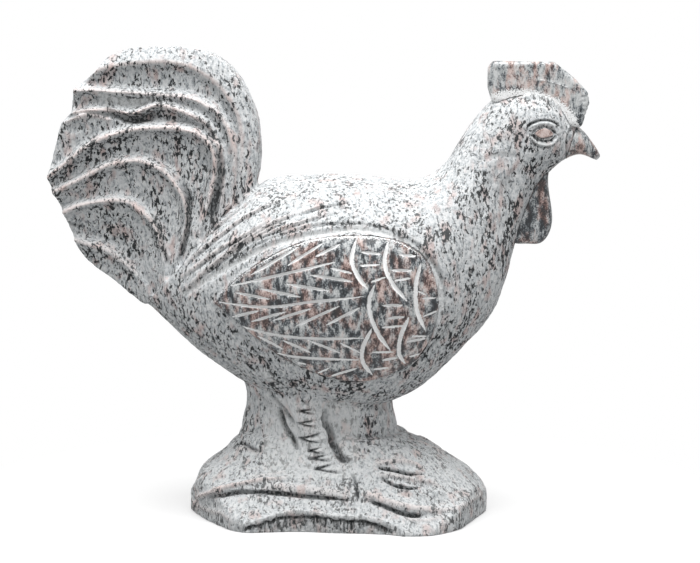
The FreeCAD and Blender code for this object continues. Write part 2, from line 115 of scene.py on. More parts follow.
def places_of(piece):
    """Corners in millimetres and the way each faces."""
    mesh = piece.data
    places = np.empty(len(mesh.vertices) * 3, np.float32)
    mesh.vertices.foreach_get("co", places)
    facing = np.empty(len(mesh.vertices) * 3, np.float32)
    mesh.vertex_normals.foreach_get("vector", facing)
    return places.reshape(-1, 3).astype(float) * 1000, facing.reshape(-1, 3).astype(float)


block = merged_copy(BLOCK_NODES + TAIL_NODES, "block")
close_over(block, BLOCK_VOXEL)
apply_modifier(block, "SMOOTH", factor=0.4, iterations=1)
places, facing = places_of(block)

# ---------------------------------------------------------------------------------------------------
# The tail fan. Each feather is a curl with a sharp lit crest. Inside the crest the face falls away
# steeply, and outside it a narrow slope climbs back up from the feather before. Points run from the
# tip of the feather to its root, in millimetres along the bird and up.

CREST_ROUND = 1.0
CREST_FALL = 5.0
CREST_STEEP = 6.0
CREST_SLOPE = 7.0
STEP_HEIGHT = 8.0
PINK_OF_CREST = 2.6
HOLLOW_REACH = 9.0
VALLEY_REACH = 48.0
FAN_FRONT = -70
FAN_FOOT = 150
FAN_FACE = 15
# A stroke that is measured along the skin takes in what lies this far above or below it
SKIN_RISE = 3
# Ridges from the outermost to the lowest, each with its boldness
RIDGES = [
    ([(-200, 375), (-182, 380), (-147, 383), (-124, 380), (-105, 370), (-94, 360), (-85, 346),
      (-80, 334), (-78, 315), (-79, 294), (-78, 280)], 0.75),
    ([(-218, 360), (-192, 359), (-164, 357), (-146, 356), (-120, 353), (-105, 346), (-96, 339),
      (-88, 326), (-84, 312), (-83, 294), (-87, 268)], 0.7),
    ([(-217, 341), (-204, 343), (-191, 344), (-179, 341), (-170, 340), (-162, 342), (-154, 346),
      (-145, 347), (-131, 344), (-119, 339), (-106, 331), (-97, 315), (-94, 301), (-93, 277),
      (-96, 254)], 0.9),
    ([(-241, 287), (-224, 300), (-209, 312), (-194, 320), (-179, 325), (-164, 328), (-140, 329),
      (-122, 327), (-110, 322), (-102, 312), (-99, 300), (-101, 284), (-107, 262), (-113, 248)], 1.0),
    ([(-237, 275), (-211, 287), (-194, 296), (-180, 300), (-165, 302), (-152, 298), (-142, 293),
      (-133, 283), (-125, 269), (-123, 252), (-127, 235), (-133, 218)], 0.9),
    ([(-228, 258), (-215, 264), (-195, 268), (-182, 269), (-171, 267), (-163, 261), (-155, 254),
      (-148, 243), (-144, 230), (-140, 214)], 0.9),
    ([(-221, 235), (-207, 231), (-193, 227), (-182, 219), (-173, 212), (-163, 202)], 0.55),
]


def put_places(piece, places):
    """Puts the corners where they are told, and never outside the box of the CAD."""
    places = np.clip(places / 1000, np.array(cad_box[0]), np.array(cad_box[1]))
    piece.data.vertices.foreach_set("co", places.astype(np.float32).ravel())
    piece.data.update()


def rounded(path, steps=6):
    """A smooth line through given points."""
    points = np.array(path, float)
    ends = np.vstack([2 * points[0] - points[1], points, 2 * points[-1] - points[-2]])
    line = []
    for a, b, c, d in zip(ends, ends[1:], ends[2:], ends[3:]):
        for step in range(steps):
            t = step / steps
            line.append(0.5 * (2 * b + (c - a) * t + (2 * a - 5 * b + 4 * c - d) * t * t
                               + (3 * b - a - 3 * c + d) * t ** 3))
    line.append(points[-1])
    return np.array(line)


def along_line(places, line, reach, facing=None):
    """Corners within reach of a line: which they are, how far off, the side and the share along.
    Where facing is given, the reach is measured along the skin."""
    slack = reach if facing is None else reach + SKIN_RISE
    low, high = line.min(0) - slack, line.max(0) + slack
    near = np.where(((places > low) & (places < high)).all(1))[0]
    spots = places[near]
    best = np.full(len(near), 1e9)
    side = np.zeros(len(near))
    share = np.zeros(len(near))
    lengths = np.linalg.norm(np.diff(line, axis=0), axis=1)
    total = lengths.sum()
    walked = 0.0
    for start, end, length in zip(line, line[1:], lengths):
        run = end - start
        t = np.clip((spots - start) @ run / max(length * length, 1e-9), 0, 1)
        off = spots - start - t[:, None] * run
        distance = np.linalg.norm(off, axis=1)
        if facing is not None:
            rise = np.abs((off * facing[near]).sum(1))
            distance = np.sqrt(np.maximum(distance ** 2 - rise ** 2, 0))
            distance += np.maximum(rise - SKIN_RISE, 0) * 9
        nearer = distance < best
        best[nearer] = distance[nearer]
        share[nearer] = (walked + t[nearer] * length) / total
        if line.shape[1] == 2:
            side[nearer] = np.sign(run[0] * off[nearer, 1] - run[1] * off[nearer, 0])
        walked += length
    keep = best < reach
    return near[keep], best[keep], side[keep], share[keep]


def both_sides(places):
    """The same corners with the left half folded over to the right one."""
    folded = places.copy()
    folded[:, 1] = np.abs(folded[:, 1])
    return folded


def carve(places, facing, path, width, depth, taper=0.2, mark=None, marked=1.0):
    """Cuts a rounded groove along a path, or raises a roll where depth is below zero. A path of
    points in three directions lies on the skin, and one of points along and up is drawn on the flank."""
    line = rounded(path)
    if line.shape[1] == 2:
        rows = np.where(facing[:, 1] * np.sign(places[:, 1]) > 0.25)[0]
        near, off, _, share = along_line(places[rows][:, [0, 2]], line, width)
        near = rows[near]
    else:
        turned = facing.copy()
        turned[places[:, 1] < 0, 1] *= -1
        near, off, _, share = along_line(both_sides(places), line, width, turned)
    fade = np.clip(np.minimum(share, 1 - share) / max(taper, 1e-6), 0, 1)
    strength = (1 - (off / width) ** 2) ** 2 * (fade * (2 - fade))
    places[near] -= facing[near] * (depth * strength)[:, None]
    if mark is not None:
        mark[near] = np.maximum(mark[near], marked * strength)


def refine(piece, boxes):
    """Halves the facets inside some boxes on both sides, for finer carving there."""
    mesh = piece.data
    centres = np.empty(len(mesh.polygons) * 3, np.float32)
    mesh.polygons.foreach_get("center", centres)
    centres = both_sides(centres.reshape(-1, 3).astype(float) * 1000)
    chosen = np.zeros(len(centres), bool)
    for low, high in boxes:
        chosen |= ((centres > low) & (centres < high)).all(1)
    pick(piece)
    bpy.context.tool_settings.mesh_select_mode = (False, False, True)
    bpy.ops.object.mode_set(mode="EDIT")
    bpy.ops.mesh.select_all(action="DESELECT")
    bpy.ops.object.mode_set(mode="OBJECT")
    mesh.polygons.foreach_set("select", chosen)
    bpy.ops.object.mode_set(mode="EDIT")
    bpy.ops.mesh.subdivide(number_cuts=1)
    bpy.ops.object.mode_set(mode="OBJECT")


tail_rows = np.where((places[:, 0] < FAN_FRONT) & (places[:, 2] > FAN_FOOT)
                     & (np.abs(places[:, 1]) > 4))[0]
half = np.abs(places[tail_rows, 1])
flat = places[tail_rows][:, [0, 2]]
fall, fall_off = np.zeros(len(half)), np.full(len(half), 1e9)
climb, climb_off = np.zeros(len(half)), np.full(len(half), 1e9)
for path, boldness in RIDGES:
    near, off, side, share = along_line(flat, rounded(path), VALLEY_REACH)
    # Height of the crest all along the ridge, from the widest corners near it
    marks = np.linspace(0, 1, 25)
    tops = np.array([
        half[near][(np.abs(share - mark) < 0.04) & (off < 3)].max(initial=0) for mark in marks
    ])
    tops = np.interp(marks, marks[tops > 0], tops[tops > 0])
    tops = np.convolve(np.pad(tops, 1, "edge"), [0.25, 0.5, 0.25], "valid")
    # It fades out towards the root and is lower at the very tip
    fade = np.clip((1 - share) / 0.3, 0, 1) ** 0.7 * np.clip(0.45 + share / 0.1, 0, 1) * boldness
    within = (side < 0) & (off < fall_off[near])
    depth = CREST_FALL * np.clip((off - CREST_ROUND) / CREST_STEEP, 0, 1)
    fall[near[within]] = (depth * fade)[within]
    fall_off[near[within]] = off[within]
    beyond = (side >= 0) & (off < np.minimum(climb_off[near], CREST_SLOPE))
    slope = np.interp(share, marks, tops) - (STEP_HEIGHT + CREST_FALL) * off / CREST_SLOPE
    climb[near[beyond]] = (half[near] + (slope - half[near]) * np.minimum(fade * 1.6, 1))[beyond]
    climb_off[near[beyond]] = off[beyond]
half = np.maximum(half - fall, climb)
places[tail_rows, 1] = np.sign(places[tail_rows, 1]) * half
put_places(block, places)
close_over(block, BLOCK_VOXEL)
places, facing = places_of(block)
fan = block.vertex_groups.new(name="fan")
fan_rows = np.where((places[:, 0] < FAN_FRONT + 2) & (places[:, 2] > FAN_FOOT))[0]
fan.add([int(row) for row in fan_rows], 1.0, "REPLACE")
apply_modifier(block, "SMOOTH", factor=0.5, iterations=3, vertex_group="fan")

# Facets are halved where the carving is finest: the low and the high corner of each place
FINE_AREAS = [
    ((148, 12, 305), (192, 45, 345)),  # eye and lids
    ((-48, 28, 46), (14, 68, 98)),  # scales of the shank
    ((-76, 72, 3), (48, 95, 16)),  # bite in the rock's edge
    ((-96, 54, 21), (20, 78, 33)),  # undercut of the outer toe
    ((28, 48, 12), (82, 84, 52)),  # toes in front
]
refine(block, FINE_AREAS)
places, facing = places_of(block)
# What the carving leaves on the skin, as shares that the finish reads: painted highlights on crests, dust
# and painted light, and painted shade
painted_highlight = np.zeros(len(places))
dust_and_painted_light = np.zeros(len(places))
painted_shade = np.zeros(len(places))
# Each ridge gets a painted highlight along its crest and painted shade in the hollow inside it
for path, boldness in RIDGES:
    near, off, side, share = along_line(places[:, [0, 2]], rounded(path), HOLLOW_REACH)
    side_on = (np.abs(places[near, 1]) > FAN_FACE) & (places[near, 0] < FAN_FRONT)
    fade = side_on * boldness * np.clip((1 - share) / 0.2, 0, 1)
    painted_highlight[near] = np.maximum(painted_highlight[near], fade * np.clip(1 - off / PINK_OF_CREST, 0, 1))
    hollow = (side < 0) * np.clip((off - 1.5) / 2, 0, 1) * np.clip((HOLLOW_REACH - off) / 5, 0, 1)
    painted_shade[near] = np.maximum(painted_shade[near], 0.4 * fade * hollow)

# Channels behind the feathers, darkened with painted shade, and the curl of the third one, hollow below
# and lit above: the line, half the width, the depth and how much painted shade it gets
CHANNELS = [
    ([(-98, 315), (-96, 306), (-95, 298), (-95, 287), (-97, 277), (-100, 268), (-102, 258),
      (-105, 249)], 4.4, 3.5, 0.95),
    ([(-130, 287), (-126, 280), (-122, 269), (-122, 259), (-123, 244), (-127, 229), (-131, 217)],
     3.0, 2.4, 0.85),
    ([(-153, 256), (-146, 241), (-143, 226), (-139, 213)], 2.2, 1.4, 0.6),
    ([(-195, 346), (-184, 340), (-171, 336), (-157, 338), (-146, 344), (-139, 347)], 4.6, 3.2, 0.6),
    ([(-120, 340), (-107, 332), (-99, 321), (-90, 315)], 3.0, 1.6, 0.4),
    ([(-226, 249), (-219, 247), (-212, 246)], 2.2, 1.4, 0.7),
]
for path, width, depth, marked in CHANNELS:
    near, off, _, share = along_line(places[:, [0, 2]], rounded(path), width)
    strength = (1 - (off / width) ** 2) * np.clip(np.minimum(share, 1 - share) / 0.15, 0, 1)
    on_face = (np.abs(places[near, 1]) > FAN_FACE - 1) & (places[near, 0] < FAN_FRONT)
    strength = np.where(on_face, strength, 0)
    places[near, 1] -= np.sign(places[near, 1]) * depth * strength
    painted_shade[near] = np.maximum(painted_shade[near], marked * strength)

# Strokes of the gouge between the ridges. In this list and those that follow a stroke has its line,
# half its width, its depth, the share of its length that fades, the share that it marks and how much of it.
# The shares are painted shade, dust with painted light, and painted highlight.
TAIL_STROKES = [
    # The first stroke is painted light in the scoop above the curl of the third feather
    ([(-204, 357), (-190, 353), (-174, 349), (-159, 350), (-149, 353)], 5.0, 1.6, 0.2, dust_and_painted_light, 0.9),
    ([(-226, 27, 352), (-205, 27, 352), (-180, 28, 349), (-160, 30, 350)], 9.0, 2.6),
    ([(-228, 31, 332), (-215, 31, 337), (-203, 28, 339), (-186, 32, 335), (-172, 33, 331)],
     3.0, -1.6, 0.2, painted_highlight, 0.7),
    ([(-226, 31, 325), (-212, 31, 329), (-198, 31, 330)], 6.0, 2.2),
    ([(-226, 28, 250), (-214, 29, 247), (-202, 30, 246)], 3.5, 2.0),
    ([(-90, 27, 250), (-99, 38, 236), (-113, 42, 220), (-128, 42, 205)], 5.0, 1.4),
]
for stroke in TAIL_STROKES:
    carve(places, facing, *stroke)
# Short marks that fan out from the root of the fourth feather, darkened with painted shade
for turn in np.linspace(-0.5, 1.1, 11):
    start = np.array([-118 + 4 * math.cos(turn), 300 + 5 * math.sin(turn)])
    carve(places, facing, [start, start + np.array([14 * math.cos(turn), 15 * math.sin(turn)])], 1.7, 0.8,
          taper=0.4, mark=painted_shade, marked=0.45)

# ---------------------------------------------------------------------------------------------------
# Back and neck. Long shallow hackle lines sweep up from the wing's tip over the back, and the neck
# is left in broad flat planes by the hammer.

# Each hackle line is a groove with painted shade, and a roll above it with a painted highlight
HACKLE_GROOVE = (2.0, 1.6, 0.3, painted_shade, 0.38)
HACKLE_ROLL = (2.4, -0.8, 0.3, painted_highlight, 0.5)
HACKLE_STEP = 3.4
HACKLES = [
    [(-127, 46, 190), (-109, 55, 207), (-88, 62, 223), (-67, 65, 237), (-43, 66, 247), (-19, 63, 255),
     (2, 59, 261)],
    [(-112, 54, 206), (-95, 60, 220), (-76, 64, 234), (-55, 65, 246), (-34, 61, 256)],
    [(-88, 61, 226), (-70, 64, 240), (-49, 62, 252), (-28, 58, 260)],
    [(-130, 45, 201), (-112, 52, 215), (-92, 58, 230), (-68, 62, 244), (-49, 58, 256)],
    [(-126, 43, 212), (-108, 48, 228), (-88, 51, 244), (-66, 50, 259), (-44, 46, 269)],
    [(-116, 41, 228), (-98, 42, 246), (-80, 40, 262), (-60, 36, 275)],
    [(-104, 36, 246), (-90, 33, 260), (-76, 28, 272)],
    [(-30, 60, 259), (-8, 55, 266), (14, 51, 270)],
]
for path in HACKLES:
    carve(places, facing, path, *HACKLE_GROOVE)
    carve(places, facing, [(x, y, z + HACKLE_STEP) for x, y, z in path], *HACKLE_ROLL)

BACK_STROKES = [
    # Band round the wing's upper edge, and the line outside it, darkened with painted shade
    ([(-127, 46, 190), (-107, 57, 204), (-80, 66, 220), (-54, 70, 234), (-27, 70, 242), (-5, 70, 246),
      (18, 68, 249), (32, 68, 247), (47, 69, 244), (65, 71, 234), (78, 70, 222), (87, 69, 208),
      (89, 68, 190), (86, 67, 172)], 4.2, 2.2, 0.06, dust_and_painted_light, 0.9),
    ([(-112, 54, 203), (-88, 63, 220), (-65, 68, 235), (-42, 69, 245.5), (-18, 67, 251.5),
      (3, 66, 253.5), (23, 66, 253.5), (43, 67, 250), (59, 69, 243), (73, 70, 233), (84, 69, 219),
      (90, 68, 203), (91, 67, 186), (88, 66, 168)], 2.4, 1.1, 0.15, painted_shade, 0.45),
    # Long tool lines along the rump and under the breast, darkened with painted shade
    ([(-139, 33, 174), (-119, 41, 160), (-97, 46, 144), (-79, 44, 128), (-73, 26, 112)],
     2.6, 1.3, 0.3, painted_shade, 0.45),
    ([(-134, 32, 166), (-113, 39, 151), (-91, 42, 135), (-79, 26, 117)], 2.6, 1.3, 0.3, painted_shade, 0.45),
    ([(-84, 64, 170), (-70, 65, 155), (-56, 62, 137), (-42, 58, 124)], 2.6, 1.3, 0.3, painted_shade, 0.45),
    ([(103, 54, 179), (85, 59, 158), (63, 60, 135), (44, 54, 117), (29, 50, 108)],
     2.6, 1.3, 0.3, painted_shade, 0.45),
    # Cheek: a roll, the hollow in front of it, and a line above with painted shade in it
    ([(148, 31, 304), (137, 34, 291), (129, 37, 275), (126, 40, 258), (116, 48, 248)], 7.0, -1.5, 0.3),
    ([(158, 28, 296), (148, 31, 282), (141, 34, 266), (137, 36, 250), (128, 44, 236)], 13.0, 2.0, 0.3),
    ([(115, 33, 301), (131, 33, 306), (146, 31, 306), (153, 29, 301)], 4.0, 1.0, 0.3, painted_shade, 0.2),
    # Planes of the neck, hollow and full by turns
    ([(146, 31, 306), (137, 34, 286), (127, 39, 269), (116, 48, 247)], 14.0, 1.4, 0.4),
    ([(167, 20, 285), (158, 24, 270), (151, 28, 256), (144, 30, 239)], 14.0, 1.4, 0.4),
    ([(124, 22, 345), (112, 26, 325), (100, 32, 305), (88, 40, 285)], 14.0, 1.4, 0.4),
    ([(136, 33, 318), (125, 37, 298), (113, 42, 278), (100, 50, 258)], 12.0, -1.2, 0.4),
    ([(158, 26, 295), (148, 31, 276), (138, 35, 258), (128, 42, 238)], 12.0, -1.2, 0.4),
]
for stroke in BACK_STROKES:
    carve(places, facing, *stroke)

# ---------------------------------------------------------------------------------------------------
# Face. A brow arc and lids are cut round the almond of the eye, a dusty fillet is left at the foot of
# the comb, and a crease runs where the face meets the beak. All are narrow strokes of a small point,
# with painted shade in the cuts and painted light on the rolls.

FACE_STROKES = [
    # Brow, cut with painted shade in it, and raised
    ([(157, 30, 329), (159, 30, 332), (163, 29, 334), (168, 28, 335.3), (174, 26, 335.3),
      (178, 24, 334), (182, 23, 332), (184, 22, 329)], 1.5, 1.8, 0.12, painted_shade, 0.95),
    ([(158, 30, 328.5), (162, 30, 331), (168, 28, 332.8), (175, 26, 332.3), (181, 23.5, 329)],
     1.9, -0.9, 0.2, dust_and_painted_light, 0.8),
    # Upper lid, lower lid, the raised ring below and the line round it; painted shade in the cuts and
    # painted light on the ring
    ([(160, 30, 324.5), (164, 29, 328), (168, 29, 329.8), (171, 28, 330.2), (175, 26, 329),
      (178, 25, 327), (181.5, 24, 323.5)], 1.3, 1.3, 0.1, painted_shade, 0.8),
    ([(160, 30, 324), (165, 29.5, 319.8), (171, 28, 318.2), (177, 26, 319.2), (181.5, 24, 323)],
     1.3, 1.3, 0.1, painted_shade, 0.8),
    ([(159, 30, 323), (162.5, 30, 318.5), (167, 29, 316), (171, 28, 315.2), (176, 26, 315.6),
      (180, 25, 318), (183, 24, 322)], 1.7, -1.3, 0.15, dust_and_painted_light, 1.0),
    ([(160, 30, 319), (166, 29, 313.8), (173, 27, 313), (180, 25, 315.5)], 1.4, 0.7, 0.25, painted_shade, 0.4),
    # Fillet at the foot of the comb
    ([(128, 14, 355), (140, 15, 357.5), (154, 15, 358), (167, 15, 356), (180, 14.5, 351),
      (190, 13.5, 344), (196, 12.5, 337)], 5.0, -2.4, 0.06, dust_and_painted_light, 0.6),
    # Crease at the beak, darkened with painted shade, and the roll behind it
    ([(198, 12, 330), (194, 13, 327), (191, 16, 322), (190, 16, 315), (190, 12, 309), (189, 6, 302)],
     1.7, 1.3, 0.1, painted_shade, 0.5),
    ([(196, 13, 333), (191, 16, 327.5), (187.5, 18, 321), (187, 17, 313), (187, 13, 306)],
     1.8, -0.7, 0.2, dust_and_painted_light, 0.6),
]
for stroke in FACE_STROKES:
    carve(places, facing, *stroke)

# ---------------------------------------------------------------------------------------------------
# Legs, belly and feet. The shanks stand proud of the pillar, a tendon groove runs down behind them,
# and the toes are long rolls with an undercut line below, left when the rock was lowered round them.

# Cuts between the scales of the shank, darkened with painted shade, each a wedge: upper end, point and lower
# end
SCUTES = [
    ((-15, 98), (-30, 96), (-15, 93.5)), ((-14, 89), (-32, 85), (-14, 83)),
    ((-6, 79), (-31, 71.5), (-6, 69)), ((-9, 66), (-23, 62), (-8, 61)),
    ((-3, 60), (-22, 56), (0, 55)), ((3, 53), (-17, 48.5), (10, 45)),
]
for corners in SCUTES:
    upper, point, lower = np.array(corners, float)
    middle = (upper + lower) / 2
    carve(places, facing, [point + 0.3 * (middle - point), middle], 3.0, -1.1, 0.2, dust_and_painted_light, 1.0)
    for corner in (upper, lower):
        carve(places, facing, [point, point + 0.9 * (corner - point)], 1.4, 1.8, 0.1)
        carve(places, facing, [point - 0.05 * (corner - point), point + 0.75 * (corner - point)],
              1.4, 0.7, 0.4, painted_shade, 0.95)

LEG_STROKES = [
    # Behind the shank and in front of it, then the thigh, the belly and the pillar, grooves with painted
    # shade; the one in front of the shank is a painted shadow
    ([(-48, 36, 97), (-45, 37, 87), (-41, 38, 78), (-35, 40, 70), (-31, 47, 62)],
     3.2, 5.0, 0.2, painted_shade, 0.7),
    ([(-9, 42, 97), (-8, 45, 87), (-5, 41, 76), (-1, 46, 68), (5, 51, 58), (14, 53, 54)],
     4.6, 7.0, 0.2, painted_shade, 0.6),
    ([(-62, 43, 119), (-56, 36, 107), (-47, 36, 99), (-40, 38, 91), (-33, 40, 82)],
     2.4, 2.2, 0.2, painted_shade, 0.6),
    ([(-42, 58, 124), (-36, 57, 121), (-31, 56, 118), (-34, 53, 115)], 2.0, 2.4, 0.2, painted_shade, 0.9),
    ([(-9, 42, 98), (11, 44, 102), (30, 32, 96), (47, 12, 95)], 4.5, 1.6, 0.2, painted_shade, 0.25),
    ([(-94, 25, 125), (-82, 26, 115), (-66, 28, 103), (-50, 36, 97)], 5.0, 1.6, 0.2, painted_shade, 0.2),
    # Undercut of the outer toe, cuts between the front toes, the hind toe and the ankle, all with painted
    # shade
    ([(-110, 39, 20), (-97, 56, 25), (-80, 60, 29), (-62, 63, 30), (-45, 66, 30), (-27, 68, 28.5),
      (-10, 70, 28), (4, 71, 27), (20, 72, 25)], 2.6, 4.6, 0.2, painted_shade, 0.6),
    ([(35, 54, 50), (48, 53, 48), (61, 52, 45), (76, 47, 44)], 2.6, 4.4, 0.2, painted_shade, 0.9),
    ([(38, 59, 43), (49, 62, 38), (59, 62, 35.5), (70, 60, 35)], 2.4, 3.4, 0.2, painted_shade, 0.7),
    ([(28, 70, 26), (44, 73, 21), (58, 75.5, 16.5), (74, 75, 14.5)], 2.6, 4.6, 0.2, painted_shade, 0.9),
    ([(-89, 24, 57), (-82, 24, 62), (-76, 30, 63), (-68, 38, 60), (-59, 42, 60)],
     2.6, 2.8, 0.2, painted_shade, 0.8),
    ([(14, 58, 46), (17, 61, 41), (19, 66, 34), (21, 71, 25)], 2.2, 2.0, 0.2, painted_shade, 0.8),
    # Tendon behind the shank, and the end of the thigh with a painted highlight
    ([(-58, 33, 100), (-54, 35, 88), (-47, 38, 76)], 5.0, -1.6, 0.3, dust_and_painted_light, 0.5),
    ([(-61, 58, 134), (-56, 55, 127), (-50, 52, 120)], 8.0, -1.6, 0.4, dust_and_painted_light, 0.8),
    # Rolls of the toes, with painted highlights
    ([(-121, 20, 14), (-102, 50, 27), (-84, 57, 34), (-66, 59, 38.5), (-52, 60, 41), (-36, 60, 43)],
     3.0, -2.8, 0.2, painted_highlight, 0.9),
    ([(-60, 60, 35), (-40, 63, 34), (-20, 65, 33), (0, 67, 31), (14, 68, 30)],
     5.0, -2.0, 0.2, painted_highlight, 0.35),
    ([(-86, 30, 60), (-76, 35, 61), (-64, 42, 59)], 3.0, -1.2, 0.2, painted_highlight, 0.5),
    ([(31, 54, 53), (47, 48, 54.5), (60, 44, 53.5), (76, 42, 48.5)], 3.2, -2.4, 0.2, painted_highlight, 0.6),
    ([(34, 58, 45.5), (52, 57, 44), (66, 56, 41), (80, 53, 38), (92, 50, 31)],
     3.4, -1.8, 0.2, painted_highlight, 0.4),
    ([(24, 66, 33), (33, 69, 30), (46, 71.5, 26), (61, 73, 22.5), (78, 72, 20), (94, 64, 17)],
     3.8, -1.6, 0.2, painted_highlight, 0.6),
    ([(56, 77.5, 14), (66, 78, 12.5), (78, 76.5, 12), (90, 70, 13)], 2.4, -0.8, 0.2, painted_highlight, 0.4),
    ([(66, 14, 63), (76, 8, 59), (90, 2, 51)], 4.0, -1.4, 0.2, painted_highlight, 0.5),
    ([(-70, 56, 42), (-54, 57, 45), (-39, 56, 47)], 2.2, -1.0, 0.2, painted_highlight, 0.4),
    # Lip over the bite in the rock's edge
    ([(-80, 77, 4), (-64, 79.5, 8.5), (-51, 77.5, 13.5), (-37, 75.5, 16.5), (-21, 75.5, 16.5),
      (-4, 76.5, 14.5), (13, 77.5, 13.5), (36, 78.5, 11), (52, 82, 7)], 3.0, -1.3, 0.1, dust_and_painted_light, 0.6),
]
for stroke in LEG_STROKES:
    carve(places, facing, *stroke)

# The bite was split off with a toothed chisel: a ragged upper edge with a painted shadow under it, and
# strokes that run down from it with painted shade
BITE_EDGE = [(-74, 3), (-64, 7), (-51, 10.5), (-37, 14), (-21, 14), (-4, 13), (13, 12.5), (25, 11.5),
             (39, 8.5), (50, 5)]
chance = np.random.default_rng(7)
along = np.arange(-72, 50, 3.6)
above = np.interp(along, *zip(*BITE_EDGE)) - 1.4 + chance.uniform(-1.3, 1.3, len(along))
carve(places, facing, np.column_stack([along, above]), 2.2, 2.6, 0.05, painted_shade, 0.8)
for ahead, start in zip(along, above):
    for shift in chance.uniform(-1.8, 1.8, 2):
        bottom = max(start - chance.uniform(3, 9), 0.8)
        stroke = [(ahead + shift, start + chance.uniform(0, 1.6)), (ahead + shift * 1.2, bottom)]
        carve(places, facing, stroke, 1.2, 1.3, 0.2, painted_shade, chance.uniform(0.3, 0.8))

# Painted highlights along the edge of the rock's top
RIM_STROKES = [
    ([(80, 73, 18), (94, 66, 18), (102, 61, 18.5), (113, 40, 18.5), (125, 8, 18.5)],
     3.0, -1.2, 0.1, painted_highlight, 0.4),
    ([(-126, 8, 11), (-119, 22, 8.5), (-103, 48, 10), (-90, 67, 11.5), (-81, 75, 7)],
     3.0, -1.2, 0.1, painted_highlight, 0.4),
]
for stroke in RIM_STROKES:
    carve(places, facing, *stroke)

# ---------------------------------------------------------------------------------------------------
# Skin of the block. The rock's walls are sawn, or split with strokes of the toothed chisel at the
# bite, and all the rest is bush hammered: shallow dents of the hammer's teeth over the gentle
# unevenness of the hand. The underside is sawn flat.

WALL_TOP = 19
SPLIT_BACK, SPLIT_FRONT, SPLIT_INSIDE = -80, 56, 74
SPLIT_TEETH, SAW_TEETH = 0.8, 0.4
DENTS = (("hand", 0.022, 0.0016), ("hammer", 0.0036, 0.0007))

folded = both_sides(places)
wall = (np.abs(facing[:, 2]) < 0.55) & (folded[:, 2] < WALL_TOP) & (folded[:, 2] > 0.6)
split = wall & (folded[:, 0] > SPLIT_BACK) & (folded[:, 0] < SPLIT_FRONT) & (folded[:, 1] > SPLIT_INSIDE)
rough = np.where(split, 1.0, 0.25) * wall
turn = np.arctan2(folded[:, 1] * 1.5, folded[:, 0]) * 95
teeth = np.sin(turn * 2.4 + 1.7 * np.sin(turn * 0.9)) * 0.5 + np.sin(turn * 1.3 + 0.8) * 0.3
places[wall] -= facing[wall] * (np.where(split[wall], SPLIT_TEETH, SAW_TEETH) * (teeth[wall] + 0.6))[:, None]
put_places(block, places)

for name, size, depth in DENTS:
    dents = bpy.data.textures.new(name, "CLOUDS")
    dents.noise_scale = size
    dents.noise_depth = 1
    apply_modifier(block, "DISPLACE", texture=dents, strength=depth, mid_level=0.5,
                   texture_coords="LOCAL")
places, facing = places_of(block)
places[(facing[:, 2] < -0.8) & (places[:, 2] < 3), 2] = 0.0

# The skin is let in behind the polished wings and eyes, which lie over it as pieces of their own
WING_EDGE = [(-97, 187.3), (-82.3, 204.7), (-64.4, 218.6), (-41.7, 231.7), (-16.6, 241.1), (18, 244),
             (48.6, 241), (74.3, 225.1), (85, 193.6), (78.6, 159.8), (61.7, 138), (23.7, 124.2),
             (-0.5, 126.9), (-22.6, 134.8), (-42, 144.4), (-61.5, 159.1), (-80.8, 174.5), (-97, 187.3)]
WING_BED = 6.0
EYE_MIDDLE = (170.7, 28, 324.7)
EYE_HALF_LENGTH, EYE_HALF_HEIGHT, EYE_BED = 7.6, 4.2, 3.0


def inside_line(spots, line):
    """Whether each spot lies within a closed line."""
    within = np.zeros(len(spots), bool)
    for (x0, z0), (x1, z1) in zip(line, line[1:]):
        crosses = (z0 > spots[:, 1]) != (z1 > spots[:, 1])
        at = (x1 - x0) * (spots[:, 1] - z0) / (z1 - z0 + 1e-12) + x0
        within ^= crosses & (spots[:, 0] < at)
    return within


flank_rows = np.where((np.abs(places[:, 1]) > 40) & (places[:, 2] > 115))[0]
spots = places[flank_rows][:, [0, 2]]
edge = rounded(WING_EDGE)
within = inside_line(spots, edge)
near, off, _, _ = along_line(spots, edge, 8.0)
inset = np.full(len(spots), 8.0)
inset[near] = off
let_in = np.where(within, np.clip((inset + 1.0) / 2.5, 0, 1) * WING_BED, 0)
places[flank_rows, 1] -= np.sign(places[flank_rows, 1]) * let_in
eye_rows = np.where(np.linalg.norm(both_sides(places) - EYE_MIDDLE, axis=1) < 9)[0]
across = (places[eye_rows, 0] - EYE_MIDDLE[0]) / EYE_HALF_LENGTH
upward = (places[eye_rows, 2] - EYE_MIDDLE[2]) / EYE_HALF_HEIGHT
socket = np.clip(1.5 * (1.2 - across ** 2 - upward ** 2), 0, 1)
places[eye_rows, 1] -= np.sign(places[eye_rows, 1]) * socket * EYE_BED
put_places(block, places)


def put_share(piece, name, values, lowest=0):
    """A share up to 1 at each corner, which a material reads. One that shifts a pattern may be below 0."""
    layer = piece.data.attributes.get(name) or piece.data.attributes.new(name, "FLOAT", "POINT")
    layer.data.foreach_set("value", np.clip(values, lowest, 1).astype(np.float32))


